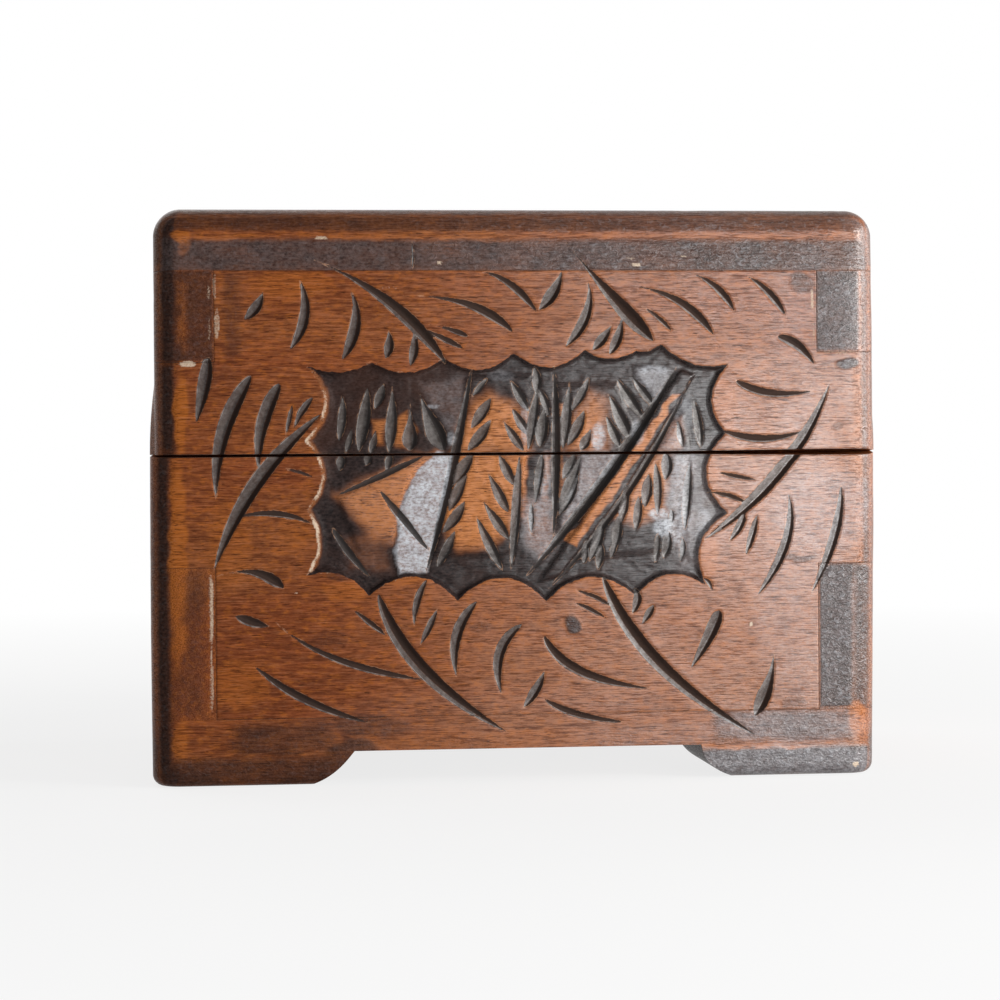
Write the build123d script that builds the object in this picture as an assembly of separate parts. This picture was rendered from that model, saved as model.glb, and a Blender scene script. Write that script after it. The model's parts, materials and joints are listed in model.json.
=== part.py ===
from build123d import *
import math
import os

# Outer sizes of the closed chest, in millimetres
WIDTH = 158.6
DEPTH = 104.0
WALL = 13.4
FOOT_HEIGHT = 7.2
FLOOR_BOARD = 7.2
BASE_WALL_HEIGHT = 56.5
RIM_GAP = 0.4
LID_WALL_HEIGHT = 39.6
TOP_BOARD = 13.5

# Worn rounding of the outside: upright corners, top edges, underside of the feet
CORNER_ROUND = 6.0
TOP_ROUND = 5.5
FOOT_ROUND = 2.4

# Finger joints at the corners: height of the one finger that each side board sends through
LID_FINGER_LEFT = 19.7
LID_FINGER_RIGHT = 17.9
BASE_FINGER_LEFT = 32.6
BASE_FINGER_RIGHT = 32.1

# Feet: length along the width at the top, how far the inner ends slope in, and depth
FOOT_LENGTH_LEFT = 43.0
FOOT_LENGTH_RIGHT = 39.8
FOOT_SLOPE_LEFT = 7.4
FOOT_SLOPE_RIGHT = 6.9
FOOT_DEPTH = 30.0

# Swollen lips along the rim of the lid's side boards, a grip for lifting the lid
LIP_HEIGHT = 15.5
LIP_PROUD = 1.2
LIP_SETBACK = 1.0

# Brass butt hinges let into the back rims
LID_OPENS = 100.0
HINGE_INSET = 34.3
HINGE_LENGTH = 25.0
HINGE_SETBACK = 3.0
LEAF_MARGIN = 1.5
LEAF_THICK = 1.0
KNUCKLE_RADIUS = 2.0
KNUCKLE_GAP = 0.2
PIN_RADIUS = 1.0
PIN_HEAD_RADIUS = 1.5
PIN_HEAD_HEIGHT = 0.6

# Countersunk wood screws, two in each leaf
SCREW_SPREAD = 7.5
SCREW_RADIUS = 0.9
SCREW_LENGTH = 8.0
SCREW_HEAD_RADIUS = 1.7
SCREW_SLOT_WIDTH = 0.4
SCREW_SLOT_DEPTH = 0.35

# Clearances
PIN_CLEAR = 0.05
SCREW_CLEAR = 0.05
MORTISE_CLEAR = 0.1
TURN_CLEAR = 0.2
COVE_CLEAR = 0.4
STOP_CLEAR = 1.0

# Felt pad on the floor of the base
FELT_THICK = 1.2
FELT_CLEAR = 0.5

# Sunk scalloped fields of the carving: depth, the plain margins left around them, and how far the
# front one lies to the left of the middle
CARVE_DEPTH = 1.4
CARVE_START = 1.0
FIELD_SIDE_MARGIN = 19.0
FIELD_OFFSET = 0.8
FIELD_TOP_MARGIN = 16.0
FIELD_BOTTOM_MARGIN = 24.6
TOP_MARGIN_LONG = 33.3
TOP_MARGIN_SHORT = 29.0
SCALLOP_COUNT_LONG = 5
SCALLOP_COUNT_SHORT = 3
SCALLOP_BOW_SHARE = 0.185

# Cusps of the front field, clockwise from the upper left. Each gives its place across, its place
# up or down from the lid's seam, both as shares of the field's reach, and how far the scallop that
# follows bows into the field, as a share of that scallop's length
FRONT_CUSPS = [
    (-0.968, 0.81, 0.12),
    (-0.665, 0.835, 0.17),
    (-0.33, 0.88, 0.21),
    (-0.006, 0.92, 0.22),
    (0.322, 0.94, 0.16),
    (0.565, 0.935, 0.16),
    (0.68, 1.0, 0.14),
    (1.0, 0.805, 0.23),
    (0.987, 0.17, 0.265),
    (0.994, -0.415, 0.25),
    (0.887, -0.89, 0.21),
    (0.554, -0.97, 0.235),
    (0.136, -1.0, 0.25),
    (-0.277, -0.99, 0.24),
    (-0.687, -0.95, 0.17),
    (-0.972, -0.805, 0.175),
    (-0.97, -0.365, 0.23),
    (-0.972, 0.135, 0.25),
]

# Levels within the front field: depth under the board's face, then corners as shares like the cusps'
FRONT_LEVELS = [
    (0.3, [(0.776, 0.75), (0.84, 0.73), (0.503, -0.27), (0.205, -0.825), (0.115, -0.86), (0.4, -0.27)]),
    (0.75, [(-0.217, 0.71), (0.072, 0.71), (0.05, 0.0), (0.0, -0.35), (-0.085, -0.69), (-0.38, -0.67),
            (-0.286, -0.16)]),
    (0.85, [(0.2, 0.63), (0.47, 0.63), (0.56, 0.2), (0.38, -0.22), (0.2, -0.53)]),
    (0.85, [(0.5, -0.31), (0.67, 0.05), (0.79, 0.37), (0.82, 0.04), (0.746, -0.35), (0.725, -0.66),
            (0.3, -0.72)]),
    (0.8, [(-0.82, -0.28), (-0.43, -0.02), (-0.51, -0.22), (-0.55, -0.44), (-0.58, -0.63), (-0.72, -0.66),
           (-0.79, -0.44)]),
]

# Main knife cuts on the front as leaf-shaped hollows: start, middle and end across and up from the
# middle of the lid's seam, and the greatest width
FRONT_CUTS = [
    (-42.6, 41.1, -27.8, 32.4, -15.8, 19.5, 3.3),
    (-25.1, 34.3, -11.1, 32.4, -1.2, 26.3, 2.6),
    (9.6, 43.1, 20.8, 34.5, 29.8, 24.9, 3.5),
    (23.8, 36.6, 35.0, 33.1, 43.0, 25.5, 2.6),
    (-47.5, 37.9, -46.4, 30.2, -49.7, 22.6, 2.3),
    (-36.6, 35.7, -35.4, 28.7, -38.4, 20.4, 2.5),
    (-58.0, 17.2, -64.2, 4.5, -65.6, -9.4, 3.2),
    (-51.9, 15.4, -55.8, 6.2, -56.4, -3.6, 2.9),
    (-42.6, 9.2, -57.1, -5.9, -66.2, -24.5, 3.1),
    (68.7, 15.0, 57.6, -3.9, 40.4, -19.1, 2.8),
    (47.8, 15.6, 55.4, 12.9, 65.0, 13.3, 2.4),
    (-65.8, -25.9, -58.0, -25.1, -51.2, -28.6, 3.1),
    (-53.0, -35.9, -40.3, -43.9, -21.6, -48.7, 2.1),
    (-57.8, -45.1, -47.0, -52.6, -32.8, -57.9, 2.4),
    (-31.0, -29.9, -21.7, -46.3, -3.0, -60.5, 3.6),
    (5.0, -39.6, 12.9, -47.4, 28.6, -51.5, 2.8),
    (18.0, -26.7, 30.1, -45.9, 52.6, -62.6, 3.5),
    (44.0, -34.7, 41.6, -40.3, 37.4, -47.4, 2.9),
    (55.8, -42.2, 54.9, -49.6, 51.4, -57.9, 3.1),
    (59.2, -8.9, 58.9, -19.7, 52.2, -31.7, 2.5),
    (70.8, -7.5, 68.9, -18.9, 63.7, -31.2, 2.2),
]
CUT_SLOPE = 0.27

# Sprays of leaves on the lid's top: root as shares of the half sizes, heading in degrees, reach as a
# share of the half depth, bend, pairs of leaves and width of the stem
TOP_SPRAYS = [
    (-0.9, -0.84, 22, 0.9, 4.0, 3, 2.6),
    (0.9, -0.84, 158, 0.9, -4.0, 3, 2.6),
    (-0.9, 0.84, -22, 0.9, -4.0, 3, 2.6),
    (0.9, 0.84, 202, 0.9, 4.0, 3, 2.6),
]
FIELD_SPRAYS = [
    (-0.38, -0.33, 58, 0.72, 3.0, 4, 2.4),
    (-0.05, -0.35, 84, 0.68, -2.0, 4, 2.4),
    (0.28, -0.35, 74, 0.68, -3.0, 4, 2.4),
]

# Levels up the chest
FLOOR_LOW = FOOT_HEIGHT
BASE_LOW = FLOOR_LOW + FLOOR_BOARD
BASE_RIM = BASE_LOW + BASE_WALL_HEIGHT
LID_RIM = BASE_RIM + RIM_GAP
LID_HIGH = LID_RIM + LID_WALL_HEIGHT
HEIGHT = LID_HIGH + TOP_BOARD

# Half sizes and the hinge line
SIDE = WIDTH / 2
FRONT = DEPTH / 2
LEAF_WIDTH = WALL - HINGE_SETBACK - LEAF_MARGIN
AXIS_Y = FRONT - HINGE_SETBACK
AXIS_Z = (BASE_RIM + LID_RIM) / 2
SCREW_Y = AXIS_Y - (LEAF_WIDTH + KNUCKLE_RADIUS) / 2
COVE_RADIUS = KNUCKLE_RADIUS + COVE_CLEAR
KNUCKLE_LENGTH = (HINGE_LENGTH - 2 * KNUCKLE_GAP) / 3
BEVEL_ANGLE = LID_OPENS / 2 + STOP_CLEAR


def block(x_low, x_high, y_low, y_high, z_low, z_high):
    """A rectangular solid given by its two corners."""
    size = Box(x_high - x_low, y_high - y_low, z_high - z_low)
    return Pos((x_low + x_high) / 2, (y_low + y_high) / 2, (z_low + z_high) / 2) * size


def outside():
    """The whole chest's outer form, with its upright, top and bottom edges rounded."""
    form = block(-SIDE, SIDE, -FRONT, FRONT, 0, HEIGHT)
    form = fillet(form.edges().filter_by(Axis.Z), CORNER_ROUND)
    top_round = min(TOP_ROUND, TOP_BOARD / 2, 0.95 * CORNER_ROUND)
    foot_round = min(FOOT_ROUND, FOOT_HEIGHT / 2, 0.95 * CORNER_ROUND)
    form = fillet(form.faces().sort_by(Axis.Z)[-1].edges(), top_round)
    return fillet(form.faces().sort_by(Axis.Z)[0].edges(), foot_round)


def long_wall(facing, low, high, fingers_low, finger_left, finger_right):
    """A front (facing -1) or back (facing 1) board, notched where the side boards' fingers pass."""
    outer = facing * FRONT
    inner = facing * (FRONT - WALL)
    y_low, y_high = min(outer, inner), max(outer, inner)
    board = block(-SIDE, SIDE, y_low, y_high, low, high)
    for x_low, x_high, finger in ((-SIDE, -SIDE + WALL, finger_left), (SIDE - WALL, SIDE, finger_right)):
        z_low, z_high = (low, low + finger) if fingers_low else (high - finger, high)
        board -= block(x_low, x_high, y_low, y_high, z_low, z_high)
    return board


def side_wall(facing, low, high, fingers_low, finger):
    """A left (facing -1) or right (facing 1) board with one finger through each corner."""
    outer = facing * SIDE
    inner = facing * (SIDE - WALL)
    x_low, x_high = min(outer, inner), max(outer, inner)
    z_low, z_high = (low, low + finger) if fingers_low else (high - finger, high)
    board = block(x_low, x_high, -FRONT + WALL, FRONT - WALL, low, high)
    return board + block(x_low, x_high, -FRONT, FRONT, z_low, z_high)


def lip(facing):
    """The swelling along the rim of a lid side board, full at the rim and running out upwards."""
    root = facing * (SIDE - LIP_PROUD)
    low = (root, 0, LID_RIM)
    crown = (facing * (SIDE + LIP_PROUD), 0, LID_RIM)
    shoulder = (facing * (SIDE + 0.7 * LIP_PROUD), 0, LID_RIM + LIP_HEIGHT / 2)
    high = (facing * SIDE, 0, LID_RIM + LIP_HEIGHT)
    back = (root, 0, LID_RIM + LIP_HEIGHT)
    outline = [Line(low, crown), ThreePointArc(crown, shoulder, high), Line(high, back), Line(back, low)]
    half_length = FRONT - WALL - LIP_SETBACK
    return extrude(make_face(outline), half_length, dir=(0, 1, 0), both=True)


def scalloped(cusps):
    """A face inside a closed clockwise row of cusps, each scallop bowing inwards."""
    edges = []
    for (x, y, bow), (x_next, y_next, _) in zip(cusps, cusps[1:] + cusps[:1]):
        middle_x = (x + x_next) / 2 + bow * (y_next - y)
        middle_y = (y + y_next) / 2 - bow * (x_next - x)
        edges.append(ThreePointArc((x, y), (middle_x, middle_y), (x_next, y_next)))
    return make_face(edges)


def arc(start, middle, end):
    """An arc through three points, or a line where they are all but in line."""
    chord = (end[0] - start[0], end[1] - start[1])
    length = math.hypot(*chord)
    away = abs((middle[0] - start[0]) * chord[1] - (middle[1] - start[1]) * chord[0]) / length
    return Line(start, end) if away < 0.1 else ThreePointArc(start, middle, end)


def hollows(cuts, place, inward):
    """Leaf-shaped hollows for a list of cuts on one face, each deeper the wider it is."""
    bodies = []
    for x, y, x_middle, y_middle, x_end, y_end, width in cuts:
        length = math.hypot(x_end - x, y_end - y)
        side = (-(y_end - y) / length * width / 2, (x_end - x) / length * width / 2)
        start, end = (x, y), (x_end, y_end)
        left = arc(start, (x_middle + side[0], y_middle + side[1]), end)
        right = arc(end, (x_middle - side[0], y_middle - side[1]), start)
        outline = place * make_face([left, right])
        bodies.append(extrude(outline, CARVE_START + CUT_SLOPE * width, dir=inward))
    return Compound(children=bodies)


def spray(u, v, heading, reach, bend, pairs, width):
    """The cuts of a stem with pairs of leaves."""
    angle = math.radians(heading)
    along = (math.cos(angle), math.sin(angle))
    end = (u + along[0] * reach, v + along[1] * reach)
    middle = ((u + end[0]) / 2 - along[1] * bend, (v + end[1]) / 2 + along[0] * bend)
    handle = (2 * middle[0] - (u + end[0]) / 2, 2 * middle[1] - (v + end[1]) / 2)
    cuts = [(u, v, *middle, *end, width)]
    for pair in range(pairs):
        t = (pair + 0.7) / (pairs + 0.6)
        root_x = (1 - t) ** 2 * u + 2 * t * (1 - t) * handle[0] + t ** 2 * end[0]
        root_y = (1 - t) ** 2 * v + 2 * t * (1 - t) * handle[1] + t ** 2 * end[1]
        ahead_x = (1 - t) * (handle[0] - u) + t * (end[0] - handle[0])
        ahead_y = (1 - t) * (handle[1] - v) + t * (end[1] - handle[1])
        course = math.atan2(ahead_y, ahead_x)
        for hand in (-1, 1):
            turn = course + hand * math.radians(40 + 4 * hand - 3 * pair)
            leaf_x, leaf_y = math.cos(turn), math.sin(turn)
            length = reach * (0.31 - 0.03 * pair)
            start = (root_x + leaf_x * width * 0.9, root_y + leaf_y * width * 0.9)
            tip = (start[0] + leaf_x * length, start[1] + leaf_y * length)
            swell = -0.12 * hand * length
            bulge = ((start[0] + tip[0]) / 2 - leaf_y * swell, (start[1] + tip[1]) / 2 + leaf_x * swell)
            cuts.append((*start, *bulge, *tip, width * 0.72))
    return cuts


def front_plane():
    """The plane just before the front face, with its origin at the height of the lid's seam."""
    return Plane(origin=(0, -FRONT - CARVE_START, AXIS_Z), x_dir=(1, 0, 0), z_dir=(0, -1, 0))


def front_field():
    """The sunk field across the fronts of lid and base, with its raised levels left standing."""
    across = SIDE - WALL - FIELD_SIDE_MARGIN
    up = LID_HIGH - FIELD_TOP_MARGIN - AXIS_Z
    down = AXIS_Z - BASE_LOW - FIELD_BOTTOM_MARGIN
    cusps = [(x * across - FIELD_OFFSET, z * (up if z > 0 else down), bow) for x, z, bow in FRONT_CUSPS]
    plane = front_plane()
    field = extrude(plane * scalloped(cusps), CARVE_START + CARVE_DEPTH, dir=(0, 1, 0))
    for depth, shares in FRONT_LEVELS:
        corners = [(x * across - FIELD_OFFSET, z * (up if z > 0 else down)) for x, z in shares]
        raised = extrude(plane * make_face(Polyline(*corners, close=True)), 2 * CARVE_START + CARVE_DEPTH,
                         dir=(0, 1, 0))
        field -= Pos(0, CARVE_START + depth, 0) * raised
    return field


def top_field():
    """The sunk field on the lid's top, with even scallops."""
    half_x, half_y = SIDE - TOP_MARGIN_LONG, FRONT - TOP_MARGIN_SHORT
    corners = [(-half_x, half_y), (half_x, half_y), (half_x, -half_y), (-half_x, -half_y)]
    counts = [SCALLOP_COUNT_LONG, SCALLOP_COUNT_SHORT, SCALLOP_COUNT_LONG, SCALLOP_COUNT_SHORT]
    cusps = []
    for start, end, count in zip(corners, corners[1:] + corners[:1], counts):
        for step in range(count):
            share = step / count
            x = start[0] + (end[0] - start[0]) * share
            y = start[1] + (end[1] - start[1]) * share
            cusps.append((x, y, SCALLOP_BOW_SHARE))
    place = Pos(0, 0, HEIGHT + CARVE_START)
    return extrude(place * scalloped(cusps), CARVE_START + CARVE_DEPTH, dir=(0, 0, -1))


def top_sprays(listing, sunk):
    """The hollows of sprays on the lid's top, starting from the face or from a field's floor."""
    cuts = []
    for u, v, heading, reach, bend, pairs, width in listing:
        cuts += spray(u * SIDE, v * FRONT, heading, reach * FRONT, bend, pairs, width)
    return hollows(cuts, Pos(0, 0, HEIGHT + CARVE_START - sunk), (0, 0, -1))


def foot(side, facing, length, slope):
    """A corner block under the base, both its inner ends sloping in towards the floor."""
    bottom_x, bottom_y = length - slope, FOOT_DEPTH - slope
    x_profile = Polyline((side * SIDE, 0), (side * (SIDE - bottom_x), 0),
                         (side * (SIDE - length), FOOT_HEIGHT), (side * SIDE, FOOT_HEIGHT), close=True)
    y_profile = Polyline((facing * FRONT, 0), (facing * (FRONT - bottom_y), 0),
                         (facing * (FRONT - FOOT_DEPTH), FOOT_HEIGHT), (facing * FRONT, FOOT_HEIGHT),
                         close=True)
    across = extrude(Plane.XZ * make_face(x_profile), FRONT, both=True)
    along = extrude(Plane.YZ * make_face(y_profile), SIDE, both=True)
    return across & along


def rod(x_low, x_high, radius):
    """A round bar on the hinge line."""
    length = x_high - x_low
    return Pos((x_low + x_high) / 2, AXIS_Y, AXIS_Z) * Rot(0, 90, 0) * Cylinder(radius, length)


def stop_bevel(up):
    """The wedge cut off a back rim's outer edge, so that the open lid comes to rest on the base."""
    reach = 2 * HINGE_SETBACK
    drop = reach * math.tan(math.radians(BEVEL_ANGLE))
    outline = Polyline((AXIS_Y, AXIS_Z), (AXIS_Y + reach, AXIS_Z), (AXIS_Y + reach, AXIS_Z + up * drop),
                       close=True)
    return extrude(Plane.YZ * make_face(outline), SIDE + LIP_PROUD, both=True)


def hinge_places():
    """The middle of each hinge, left then right."""
    return (-SIDE + HINGE_INSET, SIDE - HINGE_INSET)


def rim_level(up):
    """The rim that a leaf lies in: the lid's above the hinge line, the base's below."""
    return LID_RIM if up > 0 else BASE_RIM


def leaf_block(middle, up, clear):
    """The flat part of a leaf, or with a clearance the mortise that it is let into."""
    rim = rim_level(up)
    half = HINGE_LENGTH / 2 + clear
    z_low, z_high = sorted((rim, rim + up * LEAF_THICK))
    return block(middle - half, middle + half, AXIS_Y - LEAF_WIDTH - clear, AXIS_Y, z_low, z_high)


def screw_shape(middle, up, clear):
    """A countersunk screw, or with a clearance the hole for it."""
    rim = rim_level(up)
    head_height = SCREW_HEAD_RADIUS - SCREW_RADIUS
    shank = Cylinder(SCREW_RADIUS + clear, SCREW_LENGTH)
    head = Cone(SCREW_RADIUS + clear, SCREW_HEAD_RADIUS + clear, head_height)
    if clear:
        body = Pos(0, 0, -SCREW_LENGTH / 2 - clear) * shank + Pos(0, 0, -head_height / 2) * head
    else:
        tip = fillet(shank.faces().sort_by(Axis.Z)[0].edges(), SCREW_RADIUS / 2)
        slot = Box(2 * SCREW_HEAD_RADIUS, SCREW_SLOT_WIDTH, 2 * SCREW_SLOT_DEPTH)
        body = Pos(0, 0, -SCREW_LENGTH / 2) * tip + Pos(0, 0, -head_height / 2) * head - slot
    turn = Rot(180, 0, 0) if up > 0 else Rot(0, 0, 0)
    return Pos(middle, SCREW_Y, rim) * turn * body


def screw_places():
    """The places of the screws along both hinges."""
    return [middle + side * SCREW_SPREAD for middle in hinge_places() for side in (-1, 1)]


def knuckle_spans(middle, up):
    """The lengths of knuckle on a leaf: the lid's in the middle, the base's at both ends."""
    low = middle - HINGE_LENGTH / 2
    step = KNUCKLE_LENGTH + KNUCKLE_GAP
    places = (1,) if up > 0 else (0, 2)
    return [(low + place * step, low + place * step + KNUCKLE_LENGTH) for place in places]


def leaf(middle, up):
    """A hinge leaf: plate, knuckles, room for the other leaf's knuckles, bore and screw holes."""
    body = leaf_block(middle, up, 0)
    for low, high in knuckle_spans(middle, -up):
        body -= rod(low - KNUCKLE_GAP, high + KNUCKLE_GAP, KNUCKLE_RADIUS + TURN_CLEAR)
    for low, high in knuckle_spans(middle, up):
        body += rod(low, high, KNUCKLE_RADIUS)
    body -= rod(middle - HINGE_LENGTH, middle + HINGE_LENGTH, PIN_RADIUS + PIN_CLEAR)
    for side in (-1, 1):
        body -= screw_shape(middle + side * SCREW_SPREAD, up, SCREW_CLEAR)
    return body


def pin(middle):
    """A hinge pin with a low head at each end."""
    half = HINGE_LENGTH / 2
    body = rod(middle - half - PIN_HEAD_HEIGHT, middle + half + PIN_HEAD_HEIGHT, PIN_RADIUS)
    for side in (-1, 1):
        near = middle + side * half
        far = middle + side * (half + PIN_HEAD_HEIGHT)
        body += rod(min(near, far), max(near, far), PIN_HEAD_RADIUS)
    return body


def hinge_cuts(up):
    """What is taken out of a back board for its two hinges."""
    half_cove = HINGE_LENGTH / 2 + PIN_HEAD_HEIGHT + COVE_CLEAR
    cuts = stop_bevel(up)
    for middle in hinge_places():
        cuts += leaf_block(middle, up, MORTISE_CLEAR)
        cuts += rod(middle - half_cove, middle + half_cove, COVE_RADIUS)
    for place in screw_places():
        cuts += screw_shape(place, up, SCREW_CLEAR)
    return cuts


def build():
    """Every piece of the chest by name."""
    form = outside()
    carved_front = front_field()
    cut_front = hollows(FRONT_CUTS, front_plane(), (0, 1, 0))
    base = (BASE_LOW, BASE_RIM, True)
    lid = (LID_RIM, LID_HIGH, False)
    base_fingers = (BASE_FINGER_LEFT, BASE_FINGER_RIGHT)
    lid_fingers = (LID_FINGER_LEFT, LID_FINGER_RIGHT)

    pieces = {}
    pieces["bottom_board"] = block(-SIDE, SIDE, -FRONT, FRONT, FLOOR_LOW, BASE_LOW) & form
    pieces["base_front"] = (long_wall(-1, *base, *base_fingers) & form) - carved_front - cut_front
    pieces["base_back"] = (long_wall(1, *base, *base_fingers) & form) - hinge_cuts(-1)
    pieces["base_left"] = side_wall(-1, *base, BASE_FINGER_LEFT) & form
    pieces["base_right"] = side_wall(1, *base, BASE_FINGER_RIGHT) & form

    top = (block(-SIDE, SIDE, -FRONT, FRONT, LID_HIGH, HEIGHT) & form) - top_field()
    pieces["lid_top"] = top - top_sprays(TOP_SPRAYS, 0) - top_sprays(FIELD_SPRAYS, CARVE_DEPTH)
    pieces["lid_front"] = (long_wall(-1, *lid, *lid_fingers) & form) - carved_front - cut_front
    pieces["lid_back"] = (long_wall(1, *lid, *lid_fingers) & form) - hinge_cuts(1)
    pieces["lid_left"] = (side_wall(-1, *lid, LID_FINGER_LEFT) & form) + lip(-1)
    pieces["lid_right"] = (side_wall(1, *lid, LID_FINGER_RIGHT) & form) + lip(1)

    feet_sizes = {"left": (-1, FOOT_LENGTH_LEFT, FOOT_SLOPE_LEFT),
                  "right": (1, FOOT_LENGTH_RIGHT, FOOT_SLOPE_RIGHT)}
    for end, facing in (("front", -1), ("back", 1)):
        for hand, (side, length, slope) in feet_sizes.items():
            pieces[f"foot_{end}_{hand}"] = foot(side, facing, length, slope) & form

    for hand, middle in zip(("left", "right"), hinge_places()):
        pieces[f"base_hinge_leaf_{hand}"] = leaf(middle, -1)
        pieces[f"lid_hinge_leaf_{hand}"] = leaf(middle, 1)
        pieces[f"hinge_pin_{hand}"] = pin(middle)
    for owner, up in (("base", -1), ("lid", 1)):
        screws = [screw_shape(place, up, 0).solid() for place in screw_places()]
        pieces[f"{owner}_hinge_screws"] = Compound(children=screws)

    half_x = SIDE - WALL - FELT_CLEAR
    half_y = FRONT - WALL - FELT_CLEAR
    pieces["floor_felt"] = block(-half_x, half_x, -half_y, half_y, BASE_LOW, BASE_LOW + FELT_THICK)
    return pieces


os.makedirs("parts", exist_ok=True)
for name, piece in build().items():
    export_step(piece, f"parts/{name}.step")
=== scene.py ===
import json
import math

import bmesh
import bpy
import numpy as np
from mathutils import Euler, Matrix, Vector


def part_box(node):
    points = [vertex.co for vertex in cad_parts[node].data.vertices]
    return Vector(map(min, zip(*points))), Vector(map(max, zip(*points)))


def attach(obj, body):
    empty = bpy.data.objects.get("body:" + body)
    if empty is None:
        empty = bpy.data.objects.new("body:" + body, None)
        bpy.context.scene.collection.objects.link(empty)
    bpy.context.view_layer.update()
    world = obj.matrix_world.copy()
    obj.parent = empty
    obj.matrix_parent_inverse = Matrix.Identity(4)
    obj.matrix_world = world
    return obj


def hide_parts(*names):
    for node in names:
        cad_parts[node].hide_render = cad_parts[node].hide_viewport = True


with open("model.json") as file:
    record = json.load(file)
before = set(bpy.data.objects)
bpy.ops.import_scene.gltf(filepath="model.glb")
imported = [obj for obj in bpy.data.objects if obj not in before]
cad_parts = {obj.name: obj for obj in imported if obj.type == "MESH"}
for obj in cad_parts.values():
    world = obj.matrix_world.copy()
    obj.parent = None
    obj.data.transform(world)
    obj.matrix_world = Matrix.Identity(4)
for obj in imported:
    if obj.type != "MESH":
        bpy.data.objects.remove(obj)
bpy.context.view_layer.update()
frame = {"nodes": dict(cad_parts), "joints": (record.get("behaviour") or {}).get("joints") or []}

MM = 0.001


def node_box(node):
    """The lowest and highest corner of a piece in millimetres."""
    low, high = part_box(node)
    return np.array(low) / MM, np.array(high) / MM


# Sizes of the chest in millimetres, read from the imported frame
TOP_LOW, TOP_HIGH = node_box("lid_top")
SIDE = TOP_HIGH[0]
FRONT = TOP_HIGH[1]
HEIGHT = TOP_HIGH[2]
LID_HIGH = TOP_LOW[2]
LID_RIM = node_box("lid_front")[0][2]
BASE_RIM = node_box("base_front")[1][2]
BASE_LOW = node_box("base_front")[0][2]
FLOOR_LOW = node_box("bottom_board")[0][2]
WALL = node_box("base_front")[1][1] + FRONT
SEAM = (BASE_RIM + LID_RIM) / 2

# Rounding of the outside
CORNER_ROUND = 6.0
FOOT_ROUND = 2.4

# Heights of the side boards' fingers at the corners
LID_FINGERS = {"left": 19.7, "right": 17.9}
BASE_FINGERS = {"left": 32.6, "right": 32.1}

# Lips along the lid's side rims
LIP_HEIGHT = 15.5
LIP_PROUD = 1.1
LIP_END = 45.0

# Step inside the rims of front and sides, which keeps light and dust out
STEP_HEIGHT = 0.6

# Sunk dark line along the joints between boards: depth and tone, and how stained the joints are inside
CREASE_DEPTH = 0.16
CREASE_TONE = 0.9
JOINT_STAIN = 0.95

# Share of the outside's tones that its edge carries on, and how fast that share ends through the board
EDGE_TONE = 0.3
EDGE_FADE = 5.0

# How closely coordinates have to agree to be on the same plane
TOUCH = 0.01

# Depth of the sunk fields
FIELD_DEPTH = 1.4

# Knife cuts: depth for each millimetre of half width, in the open, in the field and along its lines
CUT_STEEPNESS = 0.95
CHIP_STEEPNESS = 1.05
LINE_STEEPNESS = 1.15

# Where a cut's valley lies, as a share of its half width towards its steep side
CUT_VALLEY = 0.35
CHIP_VALLEY = 0.6

# What the listed widths of the cuts are multiplied by
CUT_SWELL = 1.12
CHIP_SWELL = 1.3

# The direction on whose side the cuts are steep, and the one that opens a cut most where it is steep and
# gives it the least painted shade
STEEP_SIDE = np.array([0.8, 0.6])
OPEN_SIDE = np.array([0.9, -0.44])

# Reach of the distances to the edges of cuts and fields that the meshes carry
EDGE_REACH = 0.6

# The fine grid step next to an edge, and the last one before a board's hidden inner face
EDGE_STEP = 0.14
INNER_STEP = 0.03

# How far the front's carving, given below from its own middle line, lies to the left
FRONT_OFFSET = 0.8

# Cusps of the front field with the bow of the scallop that follows and the width of its sloping wall
FRONT_CUSPS = [
    (-45.4, 90.4, 1.7, 0.9),
    (-31.2, 91.0, 2.7, 0.8),
    (-15.5, 92.0, 3.2, 0.8),
    (-0.3, 93.0, 3.4, 0.8),
    (15.1, 93.5, 1.8, 0.9),
    (26.5, 93.4, 0.9, 0.9),
    (31.9, 94.9, 2.2, 0.9),
    (46.9, 90.3, 3.5, 0.7),
    (46.3, 75.2, 4.6, 0.7),
    (46.6, 57.8, 4.0, 0.7),
    (41.8, 41.8, 3.6, 0.9),
    (26.0, 39.9, 4.7, 0.9),
    (6.4, 39.0, 5.0, 0.9),
    (-13.0, 39.3, 4.8, 0.9),
    (-32.2, 40.6, 2.4, 1.2),
    (-45.6, 45.2, 2.5, 2.2),
    (-45.5, 59.4, 3.4, 2.4),
    (-45.6, 74.3, 4.1, 2.4),
]

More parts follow.
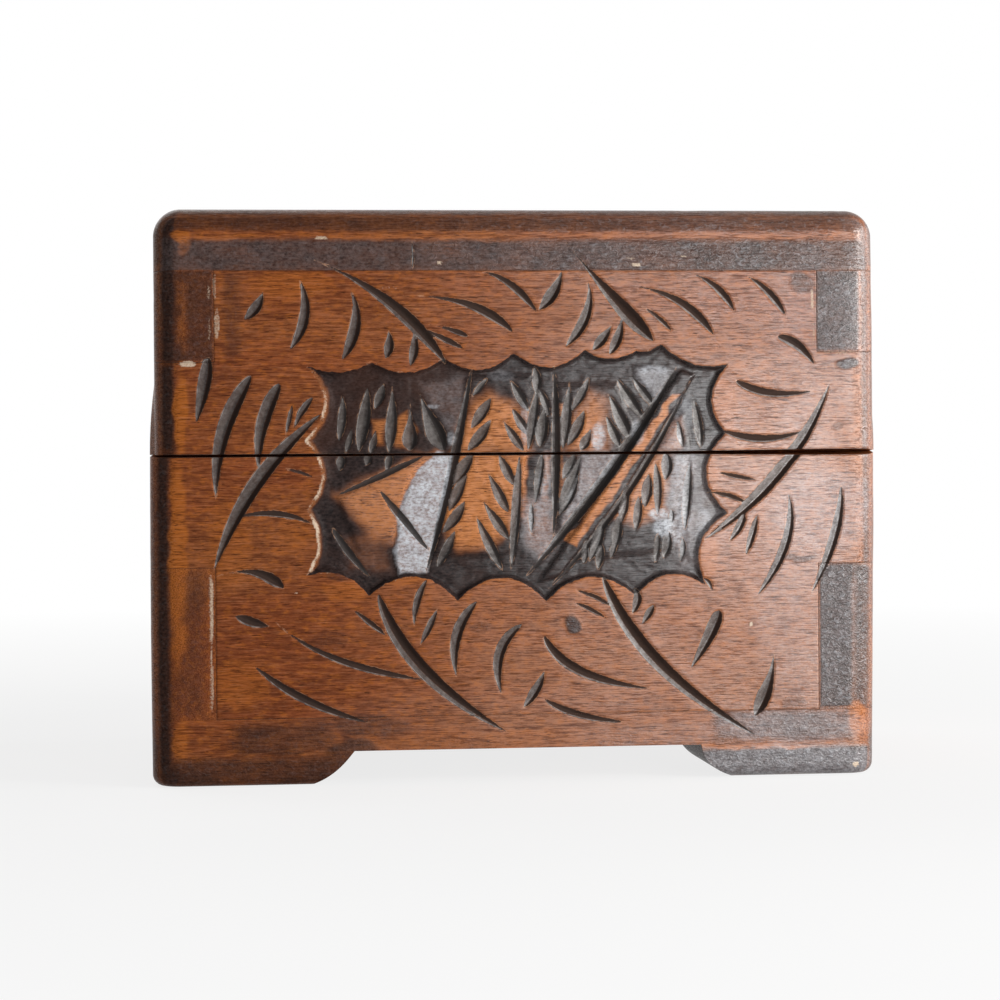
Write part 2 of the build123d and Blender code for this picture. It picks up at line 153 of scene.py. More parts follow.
# Gouge cuts on the front, in millimetres: start, middle and end as across and up, then the
# greatest width and the share of the length at which it lies
FRONT_CUTS = [
    (-54.5, 106.2, -56.0, 103.0, -58.6, 100.3, 2.1, 0.55),
    (-46.7, 109.0, -45.6, 101.3, -48.9, 93.7, 2.1, 0.55),
    (-35.8, 106.8, -34.6, 99.8, -37.6, 91.5, 2.3, 0.6),
    (-43.6, 113.2, -27.4, 103.9, -15.0, 90.6, 3.5, 0.68),
    (-27.6, 98.0, -27.4, 94.8, -28.2, 91.9, 1.9, 0.6),
    (-22.1, 97.6, -22.0, 94.0, -22.9, 90.2, 1.8, 0.55),
    (-19.4, 99.3, -14.6, 98.2, -10.1, 96.5, 1.5, 0.75),
    (-20.2, 98.4, -15.8, 96.2, -11.0, 93.8, 1.6, 0.6),
    (-24.3, 105.4, -10.3, 103.5, -0.4, 97.4, 2.5, 0.74),
    (-7.8, 110.7, -1.1, 107.9, 4.9, 101.6, 2.1, 0.6),
    (10.4, 111.0, 8.5, 106.4, 5.2, 102.3, 2.4, 0.6),
    (16.0, 108.8, 15.6, 101.4, 10.9, 94.2, 2.1, 0.6),
    (11.2, 117.0, 20.6, 105.9, 30.4, 95.4, 4.3, 0.74),
    (21.3, 99.1, 19.4, 96.4, 16.9, 93.5, 2.0, 0.6),
    (23.4, 100.6, 22.6, 96.6, 20.6, 92.5, 2.0, 0.6),
    (24.6, 107.7, 35.8, 104.2, 43.8, 96.6, 2.4, 0.7),
    (39.2, 110.1, 44.6, 106.9, 48.4, 101.8, 2.0, 0.6),
    (50.5, 110.0, 55.8, 106.2, 59.8, 100.8, 2.0, 0.6),
    (27.7, 103.1, 31.4, 100.6, 34.7, 97.2, 1.3, 0.6),
    (57.9, 96.3, 62.4, 94.4, 66.2, 90.0, 2.6, 0.35),
    (-66.4, 92.4, -67.3, 86.4, -69.2, 77.9, 2.7, 0.35),
    (-57.2, 88.3, -63.4, 75.6, -64.8, 61.7, 3.0, 0.35),
    (-51.1, 86.5, -55.0, 77.3, -55.6, 67.5, 2.7, 0.32),
    (-48.4, 81.9, -49.1, 78.6, -49.8, 75.4, 1.0, 0.45),
    (-43.9, 83.6, -46.4, 80.5, -48.0, 76.9, 1.4, 0.4),
    (-41.8, 80.3, -56.3, 65.2, -65.4, 46.6, 2.9, 0.5),
    (-59.8, 58.0, -51.6, 58.5, -44.1, 56.2, 1.7, 0.5),
    (-49.8, 68.2, -46.8, 67.4, -43.7, 66.2, 0.9, 0.5),
    (-65.0, 45.2, -57.2, 46.0, -50.4, 42.5, 2.9, 0.78),
    (-61.0, 36.7, -57.6, 35.4, -53.7, 34.3, 2.6, 0.45),
    (-52.2, 35.2, -39.5, 27.2, -20.8, 22.4, 1.9, 0.6),
    (-57.0, 26.0, -46.2, 18.5, -32.0, 13.2, 2.2, 0.45),
    (-35.6, 37.7, -32.0, 34.8, -28.2, 31.8, 1.5, 0.5),
    (-30.2, 41.2, -20.9, 24.8, -2.2, 10.6, 3.9, 0.38),
    (-19.6, 44.1, -21.8, 39.2, -22.4, 34.0, 1.4, 0.45),
    (-17.4, 37.6, -19.2, 33.8, -21.1, 30.0, 1.4, 0.5),
    (-8.7, 39.2, -13.2, 32.0, -13.3, 22.8, 2.1, 0.42),
    (1.1, 34.1, -3.9, 27.9, -3.5, 18.9, 2.1, 0.42),
    (6.0, 24.0, 4.0, 19.9, 1.2, 15.9, 1.9, 0.55),
    (5.8, 31.5, 13.7, 23.7, 29.4, 19.6, 2.6, 0.33),
    (5.9, 17.7, 13.4, 14.2, 24.4, 12.3, 1.9, 0.35),
    (12.6, 41.4, 17.4, 39.6, 21.2, 37.2, 1.2, 0.5),
    (12.2, 38.8, 16.2, 37.0, 20.0, 34.8, 1.2, 0.5),
    (18.8, 44.4, 30.9, 25.2, 53.4, 8.5, 3.8, 0.36),
    (30.0, 37.8, 28.9, 36.0, 27.4, 33.7, 1.5, 0.4),
    (44.5, 36.4, 42.1, 30.8, 38.0, 23.7, 2.6, 0.25),
    (56.6, 28.9, 55.7, 21.5, 52.2, 13.2, 2.9, 0.74),
    (69.5, 86.1, 58.4, 67.2, 41.2, 52.0, 2.6, 0.5),
    (48.6, 86.7, 56.2, 84.0, 65.8, 84.4, 2.2, 0.3),
    (45.6, 75.8, 54.6, 74.0, 63.7, 75.7, 2.1, 0.4),
    (44.2, 66.8, 48.8, 65.7, 53.2, 65.0, 1.2, 0.5),
    (42.3, 62.3, 47.0, 61.5, 50.8, 59.7, 1.4, 0.55),
    (60.0, 62.2, 59.5, 51.4, 52.8, 39.4, 1.9, 0.5),
    (71.8, 63.6, 70.1, 52.2, 65.0, 39.9, 1.9, 0.45),
    (53.2, 57.6, 52.1, 53.6, 50.5, 48.5, 1.5, 0.5),
    (50.2, 58.0, 49.1, 54.8, 46.8, 51.6, 1.6, 0.4),
    (25.9, 41.5, 26.4, 39.0, 25.2, 36.0, 1.7, 0.45),
    (41.0, 43.6, 42.4, 42.4, 43.0, 40.6, 1.1, 0.4),
    (-22.5, 117.6, -22.1, 114.2, -22.4, 110.8, 0.5, 0.5),
]

# Chip cuts inside the front field: the fern fronds, the upright blades and the palm leaf's ribs
FIELD_CUTS = [
    (-37.5, 84.1, -37.6, 79.5, -38.4, 74.0, 1.5, 0.55),
    (-32.0, 86.1, -32.8, 79.5, -34.2, 71.6, 2.2, 0.55),
    (-35.5, 77.2, -36.0, 74.6, -36.9, 71.5, 1.1, 0.6),
    (-30.4, 76.5, -30.8, 74.0, -31.7, 71.3, 1.3, 0.6),
    (-28.6, 86.4, -29.4, 83.8, -30.6, 81.0, 1.6, 0.5),
    (-26.7, 85.8, -26.9, 78.6, -27.6, 71.4, 2.0, 0.6),
    (-22.8, 82.2, -22.9, 77.2, -23.0, 71.8, 2.6, 0.75),
    (-21.2, 85.4, -18.8, 79.0, -15.6, 71.8, 3.4, 0.72),
    (-38.0, 71.0, -38.0, 69.4, -38.4, 67.6, 1.6, 0.4),
    (-32.0, 71.2, -32.2, 70.0, -32.6, 68.8, 1.4, 0.4),
    (-27.4, 71.2, -27.6, 69.6, -28.2, 67.6, 1.4, 0.4),
    (-5.2, 83.3, -7.4, 80.0, -9.8, 76.5, 1.9, 0.5),
    (-6.0, 87.6, -7.6, 85.8, -9.4, 83.6, 1.0, 0.5),
    (-5.2, 78.7, -7.6, 75.3, -10.5, 71.8, 2.0, 0.55),
    (-9.2, 71.4, -11.6, 68.0, -13.9, 64.2, 2.2, 0.5),
    (-10.6, 67.2, -12.6, 63.2, -14.7, 58.7, 1.9, 0.55),
    (-11.2, 60.9, -13.2, 57.6, -16.1, 54.1, 1.9, 0.5),
    (-13.3, 54.6, -15.2, 50.6, -17.4, 46.4, 1.7, 0.5),
    (-1.1, 87.1, 0.8, 83.8, 3.0, 80.2, 1.9, 0.55),
    (-1.0, 81.5, 0.9, 78.2, 3.0, 75.0, 1.9, 0.6),
    (-2.8, 78.5, -0.6, 75.0, 1.8, 71.6, 1.9, 0.6),
    (-3.7, 71.2, -2.2, 67.8, -0.4, 64.2, 1.9, 0.55),
    (-6.1, 67.2, -4.0, 62.8, -1.5, 58.2, 2.0, 0.6),
    (-7.2, 60.9, -4.6, 56.8, -1.5, 52.4, 2.2, 0.6),
    (-8.7, 57.6, -6.2, 52.0, -3.0, 45.8, 1.9, 0.55),
    (5.2, 86.0, 3.9, 79.0, 2.8, 71.6, 1.7, 0.55),
    (5.0, 85.4, 6.4, 82.6, 7.4, 79.0, 1.4, 0.5),
    (6.6, 81.6, 6.0, 77.4, 5.4, 72.4, 2.2, 0.6),
    (4.2, 90.0, 4.8, 87.2, 4.6, 84.0, 1.6, 0.5),
    (0.9, 71.2, 0.1, 60.0, -1.1, 45.8, 1.7, 0.5),
    (5.9, 71.2, 5.0, 65.6, 4.3, 60.0, 1.5, 0.4),
    (3.4, 60.8, 3.4, 57.2, 3.4, 53.4, 1.0, 0.5),
    (12.0, 86.8, 11.2, 79.6, 10.3, 72.0, 1.9, 0.6),
    (16.3, 87.6, 14.4, 83.8, 12.2, 80.2, 1.5, 0.5),
    (15.1, 80.4, 13.6, 76.8, 11.4, 72.8, 1.9, 0.5),
    (16.7, 76.5, 15.6, 74.2, 14.2, 71.6, 1.7, 0.6),
    (13.0, 71.2, 11.8, 68.6, 10.2, 65.4, 1.7, 0.5),
    (14.4, 70.8, 12.0, 65.0, 9.4, 59.1, 1.9, 0.55),
    (13.7, 66.6, 11.8, 62.2, 9.4, 57.6, 1.8, 0.5),
    (22.0, 88.0, 24.6, 83.8, 28.2, 78.6, 2.2, 0.6),
    (25.4, 88.2, 27.8, 85.0, 30.8, 81.2, 1.9, 0.6),
    (20.3, 84.4, 22.8, 79.2, 25.6, 73.4, 2.3, 0.6),
    (19.8, 79.5, 21.2, 76.2, 23.0, 72.2, 1.8, 0.6),
    (39.2, 83.6, 40.2, 78.0, 41.0, 72.0, 1.6, 0.6),
    (35.6, 78.8, 36.2, 75.6, 36.9, 72.0, 1.2, 0.6),
    (30.7, 69.2, 31.2, 63.4, 31.1, 57.2, 1.5, 0.5),
    (33.0, 71.2, 33.3, 68.2, 32.9, 65.0, 2.0, 0.45),
    (29.3, 66.6, 28.9, 63.2, 28.3, 59.1, 1.9, 0.5),
    (27.0, 61.7, 26.8, 58.2, 26.2, 54.0, 1.6, 0.5),
    (38.6, 69.4, 38.0, 64.6, 37.2, 54.0, 1.6, 0.5),
    (34.2, 58.8, 34.3, 57.2, 34.2, 55.6, 1.0, 0.5),
    (33.5, 54.0, 33.2, 51.2, 32.5, 48.0, 1.8, 0.5),
    (31.1, 53.6, 31.0, 50.4, 30.6, 47.0, 1.2, 0.5),
    (24.2, 64.4, 23.8, 60.2, 22.8, 55.4, 1.7, 0.5),
    (22.5, 57.6, 22.2, 54.0, 21.3, 49.6, 1.7, 0.5),
    (19.2, 57.2, 18.0, 52.8, 16.1, 47.6, 1.9, 0.5),
    (15.2, 52.4, 15.2, 49.8, 14.8, 46.8, 1.4, 0.5),
    (18.5, 51.6, 18.4, 48.8, 18.0, 45.6, 1.5, 0.5),
    (21.7, 52.2, 21.3, 50.2, 20.6, 48.0, 1.1, 0.5),
    (36.6, 52.6, 36.8, 50.0, 36.2, 47.2, 1.1, 0.5),
]

# Long deep lines inside the field: the trunk's edges, the diagonal bar's shadow lines and the folds
FIELD_LINES = [
    (-9.4, 90.0, -13.9, 68.0, -19.7, 45.2, 1.9, 0.5),
    (8.6, 90.6, 8.9, 71.5, 8.2, 52.6, 1.7, 0.5),
    (35.8, 89.8, 19.8, 66.0, 2.2, 44.4, 2.5, 0.5),
    (38.6, 86.8, 24.4, 62.4, 7.0, 41.6, 1.5, 0.5),
    (-20.2, 70.8, -29.0, 66.6, -39.4, 62.2, 1.7, 0.4),
    (-39.9, 55.4, -36.4, 50.0, -31.4, 44.2, 2.0, 0.4),
    (-30.0, 63.9, -24.8, 57.2, -18.8, 50.0, 2.2, 0.5),
]

# Levels inside the field: outline, softness of its edge, depth at its left and right end
FIELD_LEVELS = [
    ([(-38.5, 62.0), (-29.0, 66.0), (-20.2, 70.6), (-24.0, 64.0), (-25.8, 57.0), (-27.0, 51.0),
      (-34.0, 50.0), (-37.0, 57.0)], 0.8, 0.7, 0.9),
    ([(-17.2, 71.4), (-13.6, 71.4), (-15.2, 62.0), (-17.2, 54.0), (-19.2, 45.2), (-25.8, 45.2),
      (-26.4, 50.5), (-25.6, 56.5), (-24.8, 60.5), (-23.0, 64.5), (-20.2, 69.0)], 0.35, 0.7, 2.1),
    ([(-10.2, 88.0), (3.4, 88.0), (2.4, 72.0), (0.4, 60.0), (-1.4, 50.0), (-4.0, 49.0), (-17.8, 49.6),
      (-13.4, 66.0)], 0.7, 0.75, 0.7),
    ([(9.4, 86.0), (22.0, 86.0), (26.4, 76.0), (18.0, 64.0), (9.6, 54.0)], 0.8, 0.7, 0.95),
    ([(36.4, 89.0), (39.4, 88.0), (23.6, 62.4), (9.6, 44.6), (5.4, 43.6), (18.8, 62.4)], 0.4, 0.3, 0.25),
    ([(23.4, 61.0), (31.6, 72.6), (37.0, 80.0), (38.4, 72.0), (35.0, 60.0), (34.0, 50.0), (14.0, 48.0)],
     0.9, 0.8, 0.95),
    ([(26.4, 89.8), (34.8, 89.2), (31.2, 82.0), (26.6, 88.0)], 0.6, 0.9, 1.5),
    ([(38.6, 74.0), (46.0, 78.0), (45.0, 60.0), (42.0, 46.0), (38.0, 48.0), (37.2, 60.0)], 1.0, 1.1, 1.9),
]

# Tones inside the field: outline, softness of its edge, then lacquer, warmth and painted sheen from 0 to 1
FIELD_TONES = [
    ([(-47.0, 92.0), (-10.0, 92.0), (-10.0, 82.0), (-26.0, 81.0), (-40.0, 73.0), (-40.0, 64.0),
      (-47.0, 60.0)], 2.5, 0.86, 0.0, 0.0),
    ([(-20.6, 86.6), (-11.0, 87.6), (-12.4, 76.0), (-15.4, 77.0)], 1.2, 0.76, 0.0, 0.14),
    ([(-38.0, 54.0), (-27.6, 54.0), (-27.0, 45.6), (-36.6, 45.6)], 1.6, 0.66, 0.25, 0.04),
    ([(-39.4, 62.6), (-21.0, 70.8), (-17.0, 71.2), (-20.0, 64.0), (-24.0, 58.0), (-26.0, 52.0),
      (-31.0, 53.4), (-35.4, 57.6)], 2.2, 0.12, 0.85, 0.09),
    ([(-31.0, 78.8), (-28.2, 78.8), (-28.4, 73.2), (-30.6, 73.2)], 0.8, 0.2, 0.4, 0.0),
    ([(-26.4, 78.6), (-23.6, 80.6), (-21.4, 76.0), (-22.6, 72.2), (-26.2, 72.6)], 0.9, 0.25, 0.35, 0.0),
    ([(-9.8, 82.0), (-6.0, 84.6), (-1.6, 82.4), (2.0, 80.0), (2.8, 71.4), (-13.8, 71.4), (-11.6, 77.0)],
     2.6, 0.05, 0.55, 0.0),
    ([(-13.8, 71.2), (1.6, 71.2), (0.2, 60.0), (-1.6, 54.0), (-6.0, 51.0), (-13.0, 50.6), (-16.6, 58.0)],
     2.2, 0.04, 0.6, 0.0),
    ([(9.4, 82.0), (10.6, 82.0), (10.2, 60.0), (9.2, 60.0)], 0.5, 0.2, 0.3, 0.1),
    ([(12.4, 79.0), (16.6, 84.4), (19.6, 83.4), (20.4, 76.0), (19.6, 71.4), (12.0, 71.4)],
     2.8, 0.08, 0.6, 0.0),
    ([(1.0, 71.2), (2.6, 71.2), (2.2, 57.0), (0.6, 58.0)], 0.5, 0.15, 0.45, 0.0),
    ([(6.2, 71.2), (8.0, 71.2), (7.2, 61.0), (5.4, 59.0)], 0.7, 0.3, 0.2, 0.45),
    ([(1.4, 61.0), (7.6, 61.0), (8.4, 51.0), (5.4, 48.4), (1.6, 52.0)], 1.8, 0.55, 0.1, 0.5),
    ([(34.4, 84.0), (35.8, 83.6), (28.8, 72.6), (12.9, 50.4), (10.4, 51.8), (19.4, 63.0), (26.8, 73.6)],
     0.35, 0.06, 0.65, 0.0),
    ([(24.6, 62.5), (30.2, 71.2), (34.4, 71.2), (33.6, 58.0), (27.0, 55.6), (20.6, 57.4)],
     2.0, 0.12, 0.55, 0.05),
    ([(33.6, 77.0), (37.0, 79.0), (37.0, 71.6), (31.4, 71.6)], 1.2, 0.4, 0.1, 0.35),
    ([(-17.2, 71.4), (-13.8, 71.4), (-15.4, 62.0), (-17.4, 54.0), (-19.4, 45.4), (-25.8, 45.2),
      (-26.4, 50.5), (-25.6, 56.5), (-24.8, 60.5), (-23.0, 64.5), (-20.2, 69.0)], 0.3, 0.6, 0.0, 1.0),
    ([(14.4, 71.2), (23.4, 71.2), (18.4, 64.4), (9.6, 54.2), (10.8, 59.0), (13.4, 65.0)],
     0.5, 0.7, 0.0, 0.44),
    ([(26.6, 89.8), (34.6, 89.0), (31.4, 81.4), (27.0, 87.0)], 0.6, 0.8, 0.0, 0.42),
    ([(36.0, 71.2), (45.0, 71.2), (43.6, 63.0), (46.0, 58.0), (42.6, 46.0), (36.0, 44.6), (34.6, 56.0)],
     1.8, 0.8, 0.0, 0.22),
    ([(33.8, 71.0), (39.4, 71.0), (38.0, 62.0), (38.6, 55.0), (36.6, 50.0), (33.4, 52.0), (33.6, 60.0)],
     1.8, 0.7, 0.0, 0.62),
]

# Painted glints, bright highlights painted on the lacquer: centre across and up, half sizes, strength
FIELD_GLINTS = [
    (18.2, 74.6, 1.7, 3.2, 0.85),
    (26.8, 75.6, 1.6, 2.8, 0.6),
    (30.6, 89.2, 3.6, 0.9, 0.75),
    (32.6, 54.8, 2.6, 2.0, 1.0),
    (31.4, 57.6, 2.4, 1.4, 0.9),
    (35.8, 62.4, 1.7, 6.0, 0.55),
    (41.4, 55.0, 2.0, 4.6, 0.5),
    (6.4, 64.6, 1.4, 3.6, 0.6),
    (5.2, 54.6, 2.0, 3.6, 0.45),
    (-3.0, 88.0, 3.0, 1.2, 0.16),
    (-18.0, 81.5, 1.9, 0.4, 0.5),
    (-14.0, 74.6, 1.0, 1.6, 0.5),
    (37.0, 79.6, 2.4, 4.0, 0.28),
    (1.9, 77.6, 0.9, 5.0, 0.4),
]

# Stained blocks on the front outside the field, darkest along the left rounded edge as painted shade: left,
# right, low, high, softness, strength
STAIN_AND_SHADE_BLOCKS = [
    (-80.0, -65.2, 91.4, 110.9, 0.5, 0.68),
    (-80.0, -74.2, 72.0, 91.0, 1.4, 0.98),
    (-80.0, -73.6, 91.0, 124.0, 1.2, 0.95),
    (-63.2, -59.0, 92.0, 110.9, 1.8, 0.42),
    (66.6, 76.4, 93.2, 110.9, 0.5, 0.85),
    (76.8, 82.0, 46.0, 124.0, 0.9, 0.6),
    (-80.0, -66.8, 14.6, 46.8, 0.7, 0.25),
    (-80.0, -74.4, 3.0, 72.0, 1.8, 0.98),
    (-74.0, -67.0, 15.0, 46.8, 1.6, 0.42),
    (67.0, 74.2, 15.0, 46.4, 0.35, 1.0),
    (74.2, 83.0, 14.6, 46.4, 1.2, 0.82),
    (-80.0, -34.0, 0.0, 6.2, 1.4, 0.72),
    (38.0, 80.0, 0.0, 6.2, 0.8, 0.95),
    (-62.0, -40.0, 7.0, 14.0, 2.6, 0.5),
    (43.0, 74.0, 7.6, 14.6, 1.8, 0.62),
]

# Stained spots: centre across and up, half sizes, strength
STAIN_SPOTS = [
    (63.5, 108.3, 3.0, 2.2, 0.6),
    (-66.0, 88.5, 2.0, 4.0, 0.3),
    (-52.0, 9.4, 12.0, 3.4, 0.56),
    (-32.0, 12.6, 9.0, 2.4, 0.5),
    (-36.0, 7.0, 7.0, 3.0, 0.6),
    (-41.0, 31.0, 5.0, 2.4, 0.35),
    (-62.0, 88.0, 3.0, 3.0, 0.2),
    (-8.0, 33.0, 2.4, 1.6, 0.3),
    (-13.0, 8.5, 10.0, 1.8, 0.3),
    (24.0, 8.6, 8.0, 1.8, 0.25),
    (61.0, 16.0, 3.4, 2.6, 0.4),
    (62.0, 47.6, 4.4, 1.0, 0.5),
    (12.0, 34.0, 1.8, 2.2, 0.9),
    (73.5, 90.3, 3.4, 1.3, 0.9),
    (71.5, 76.3, 1.6, 0.9, 0.4),
    (-39.0, 45.8, 3.0, 2.0, 0.5),
    (-58.0, 60.0, 3.0, 6.0, 0.2),
]

# Rubbed spots, paler than the wood: centre across and up, half sizes, strength
WORN_SPOTS = [
    (-70.9, 90.7, 2.2, 0.8, 0.75),
    (-64.8, 107.4, 0.5, 3.4, 0.5),
    (-64.4, 99.4, 0.8, 3.8, 0.55),
    (-66.0, 106.4, 0.4, 1.8, 0.5),
    (-66.1, 98.0, 0.4, 3.0, 0.42),
    (-65.9, 38.0, 0.5, 8.6, 0.66),
    (-66.0, 23.0, 0.45, 8.0, 0.56),
    (65.6, 104.6, 0.5, 2.6, 0.6),
    (65.8, 97.0, 0.4, 3.4, 0.42),
    (71.8, 92.8, 4.6, 0.4, 0.45),
    (77.0, 99.0, 0.5, 9.0, 0.40),
    (66.0, 60.0, 4.0, 0.3, 0.3),
    (-42.0, 117.7, 1.7, 0.5, 0.7),
    (-16.4, 112.6, 0.7, 0.4, 0.8),
    (-27.0, 107.2, 2.6, 0.5, 0.35),
    (26.6, 112.1, 1.2, 0.4, 0.8),
    (25.6, 113.4, 1.0, 0.4, 0.6),
    (37.0, 114.0, 0.8, 0.3, 0.7),
    (-47.9, 41.5, 0.3, 0.3, 0.9),
    (51.6, 33.4, 0.55, 0.5, 0.85),
    (65.0, 85.3, 1.6, 0.5, 0.4),
    (70.5, 87.5, 0.5, 3.0, 0.35),
    (75.0, 2.2, 0.9, 0.7, 0.9),
]

# Painted sheen outside the field, a painted reflection on the lacquer: centre across and up, half sizes,
# strength
SHEEN_SPOTS = [
    (60.0, 2.6, 24.0, 5.4, 0.34),
    (60.0, 11.0, 19.0, 3.6, 0.26),
    (68.0, 58.0, 12.0, 10.0, 0.26),
    (64.0, 34.0, 12.0, 22.0, 0.14),
    (66.0, 92.0, 10.0, 26.0, 0.10),
    (-4.0, 12.0, 44.0, 9.0, 0.03),
    (71.0, 26.0, 4.0, 14.0, 0.10),
    (72.0, 102.0, 5.0, 8.0, 0.10),
    (30.0, 9.5, 20.0, 2.6, 0.10),
]

# Spots of warmer wood: centre across and up, half sizes, strength
WARM_SPOTS = [
    (-72.6, 80.0, 1.9, 9.0, 0.9),
    (-72.2, 101.0, 1.1, 8.8, 0.55),
    (-71.6, 115.8, 1.6, 2.2, 0.6),
    (-72.6, 118.4, 2.6, 1.8, 0.9),
    (-72.8, 48.0, 2.0, 24.0, 0.8),
    (-72.6, 10.0, 2.0, 4.0, 0.6),
    (75.6, 12.6, 2.2, 4.0, 1.0),
    (77.6, 12.0, 0.7, 3.6, 0.8),
    (52.0, 6.7, 13.0, 0.6, 1.0),
    (-62.0, 117.9, 8.0, 0.6, 0.5),
    (-21.0, 118.0, 22.0, 0.5, 0.42),
    (-48.0, 108.0, 9.0, 2.6, 0.5),
    (-60.0, 22.0, 6.0, 6.0, 0.45),
    (-62.0, 52.0, 5.0, 10.0, 0.35),
    (-36.5, 42.0, 6.0, 2.2, 0.5),
    (-48.0, 54.0, 4.0, 4.0, 0.3),
    (-5.0, 118.0, 8.0, 0.9, 0.4),
    (35.0, 118.2, 26.0, 0.8, 0.36),
    (46.0, 81.0, 3.0, 6.0, 0.6),
    (42.6, 66.0, 1.6, 5.0, 0.6),
    (42.6, 48.0, 2.6, 5.0, 0.7),
    (-24.0, 44.0, 6.0, 1.6, 0.4),
    (-3.0, 43.8, 6.0, 1.2, 0.4),
    (15.0, 43.6, 7.0, 1.2, 0.5),
    (22.6, 42.0, 2.4, 3.0, 0.6),
    (-30.0, 60.5, 3.6, 3.6, 0.9),
    (0.0, 9.0, 34.0, 2.2, 0.35),
]


def curve(start, middle, end, count=22):
    """Points along a stroke that passes through its middle."""
    handle = 2 * middle - (start + end) / 2
    t = np.linspace(0, 1, count)[:, None]
    return (1 - t) ** 2 * start + 2 * t * (1 - t) * handle + t ** 2 * end


def towards(points, start, step):
    """The way from a straight stretch to each point, its length and the share of the stretch there."""
    offset = points - start
    t = np.clip(offset @ step / max(step @ step, 1e-12), 0, 1)
    away = offset - t[:, None] * step
    return away, np.hypot(away[:, 0], away[:, 1]), t


def nearest(points, path):
    """For each point its distance to a path, the share of the path there and its side."""
    steps = np.diff(path, axis=0)
    lengths = np.hypot(steps[:, 0], steps[:, 1])
    before = np.concatenate([[0], np.cumsum(lengths)])
    distance = np.full(len(points), 1e9)
    share = np.zeros(len(points))
    side = np.zeros(len(points))
    for k, step in enumerate(steps):
        away, far, t = towards(points, path[k], step)
        closer = far < distance
        distance[closer] = far[closer]
        share[closer] = (before[k] + t[closer] * lengths[k]) / before[-1]
        normal = np.array([-step[1], step[0]]) / max(lengths[k], 1e-9)
        steep = 1.0 if normal @ STEEP_SIDE > 0 else -1.0
        side[closer] = np.sign(away[closer] @ normal) * steep
    return distance, share, side


def carve(points, cuts, steepness=CUT_STEEPNESS, valley=CUT_VALLEY, swell=CUT_SWELL):
    """Depth of a list of knife cuts, then how far each point lies inside a cut and past the line after
    which it gets painted shade: its valley, moved towards the lit side for cuts that open least.
    """
    depth = np.zeros(len(points))
    inside = np.full(len(points), -EDGE_REACH)
    past = np.zeros(len(points))
    for u0, v0, u1, v1, u2, v2, width, peak in cuts:
        path = curve(*(np.array(p, float) for p in ((u0, v0), (u1, v1), (u2, v2))))
        margin = width * swell / 2 + EDGE_REACH
        near = np.all((points > path.min(0) - margin) & (points < path.max(0) + margin), axis=1)
        if not near.any():
            continue
        distance, share, side = nearest(points[near], path)
        course = path[-1] - path[0]
        across_course = np.array([-course[1], course[0]]) / max(np.hypot(*course), 1e-9)
        across_course = across_course * (1.0 if across_course @ STEEP_SIDE > 0 else -1.0)
        openness = float(np.clip(across_course @ OPEN_SIDE, 0, 1))
        fullness = 0.74 + 0.26 * float(smooth(openness, 0.35, 0.8))
        taper = np.sin(np.pi * share ** (math.log(0.5) / math.log(peak))) ** 0.8
        half = swell * fullness * width / 2 * taper
        across = side * distance / np.maximum(half, 1e-6)
        rise = np.where(across < valley, (across + 1) / (1 + valley), (1 - across) / (1 - valley))
        depth[near] = np.maximum(depth[near], steepness * half * np.clip(rise, 0, 1))
        reach = half - distance
        # The shaded side, painted shade in the wood material, begins before the valley where a cut opens
        # little
        turned = side * distance - (valley - 0.95 * (1 - openness)) * half
        past[near] = np.where(reach > inside[near], turned, past[near])
        inside[near] = np.maximum(inside[near], reach)
    return depth, inside, past


def kept(distance):
    """A signed distance as the share that a mesh carries, one half at the edge."""
    return np.clip(0.5 + distance / (2 * EDGE_REACH), 0, 1)


def polygon(points, outline):
    """Signed distance of points to a closed outline, positive inside, and the nearest edge."""
    outline = np.array(outline, float)
    nxt = np.roll(outline, -1, axis=0)
    distance = np.full(len(points), 1e9)
    edge = np.zeros(len(points), int)
    inside = np.zeros(len(points), bool)
    for k, (a, b) in enumerate(zip(outline, nxt)):
        step = b - a
        _, far, _ = towards(points, a, step)
        closer = far < distance
        distance[closer] = far[closer]
        edge[closer] = k
        crosses = (a[1] > points[:, 1]) != (b[1] > points[:, 1])
        rise = step[1] if step[1] else 1e-12
        inside ^= crosses & (points[:, 0] < a[0] + (points[:, 1] - a[1]) * step[0] / rise)
    return np.where(inside, distance, -distance), edge


def scallops(cusps, count=9):
    """The outline through clockwise cusps, each scallop an arc bowing inwards, with wall widths."""
    outline, widths = [], []
    for (u, v, bow, wall), (u_next, v_next, _, _) in zip(cusps, cusps[1:] + cusps[:1]):
        start, end = np.array([u, v]), np.array([u_next, v_next])
        chord = end - start
        inward = np.array([chord[1], -chord[0]]) / np.hypot(*chord)
        for t in np.arange(count) / count:
            outline.append(start + chord * t + inward * bow * 4 * t * (1 - t))
            widths.append(wall)
    return np.array(outline), np.array(widths)


def smooth(value, low, high):
    """Smooth step from 0 at low to 1 at high."""
    t = np.clip((value - low) / (high - low), 0, 1)
    return t * t * (3 - 2 * t)


def spots(points, listing):
    """Soft-edged ellipses of strength, the strongest one counting."""
    total = np.zeros(len(points))
    for u, v, half_u, half_v, strength in listing:
        r = np.hypot((points[:, 0] - u) / half_u, (points[:, 1] - v) / half_v)
        total = np.maximum(total, strength * (1 - smooth(r, 0.7, 1.15)))
    return total


def blocks(points, listing):
    """Soft-edged rectangles of strength, the strongest one counting."""
    total = np.zeros(len(points))
    for left, right, low, high, soft, strength in listing:
        u, v = points.T
        reach = np.minimum.reduce([u - left, right - u, v - low, high - v])
        total = np.maximum(total, strength * smooth(reach, -soft, soft))
    return total


NOISE_CELLS = 64


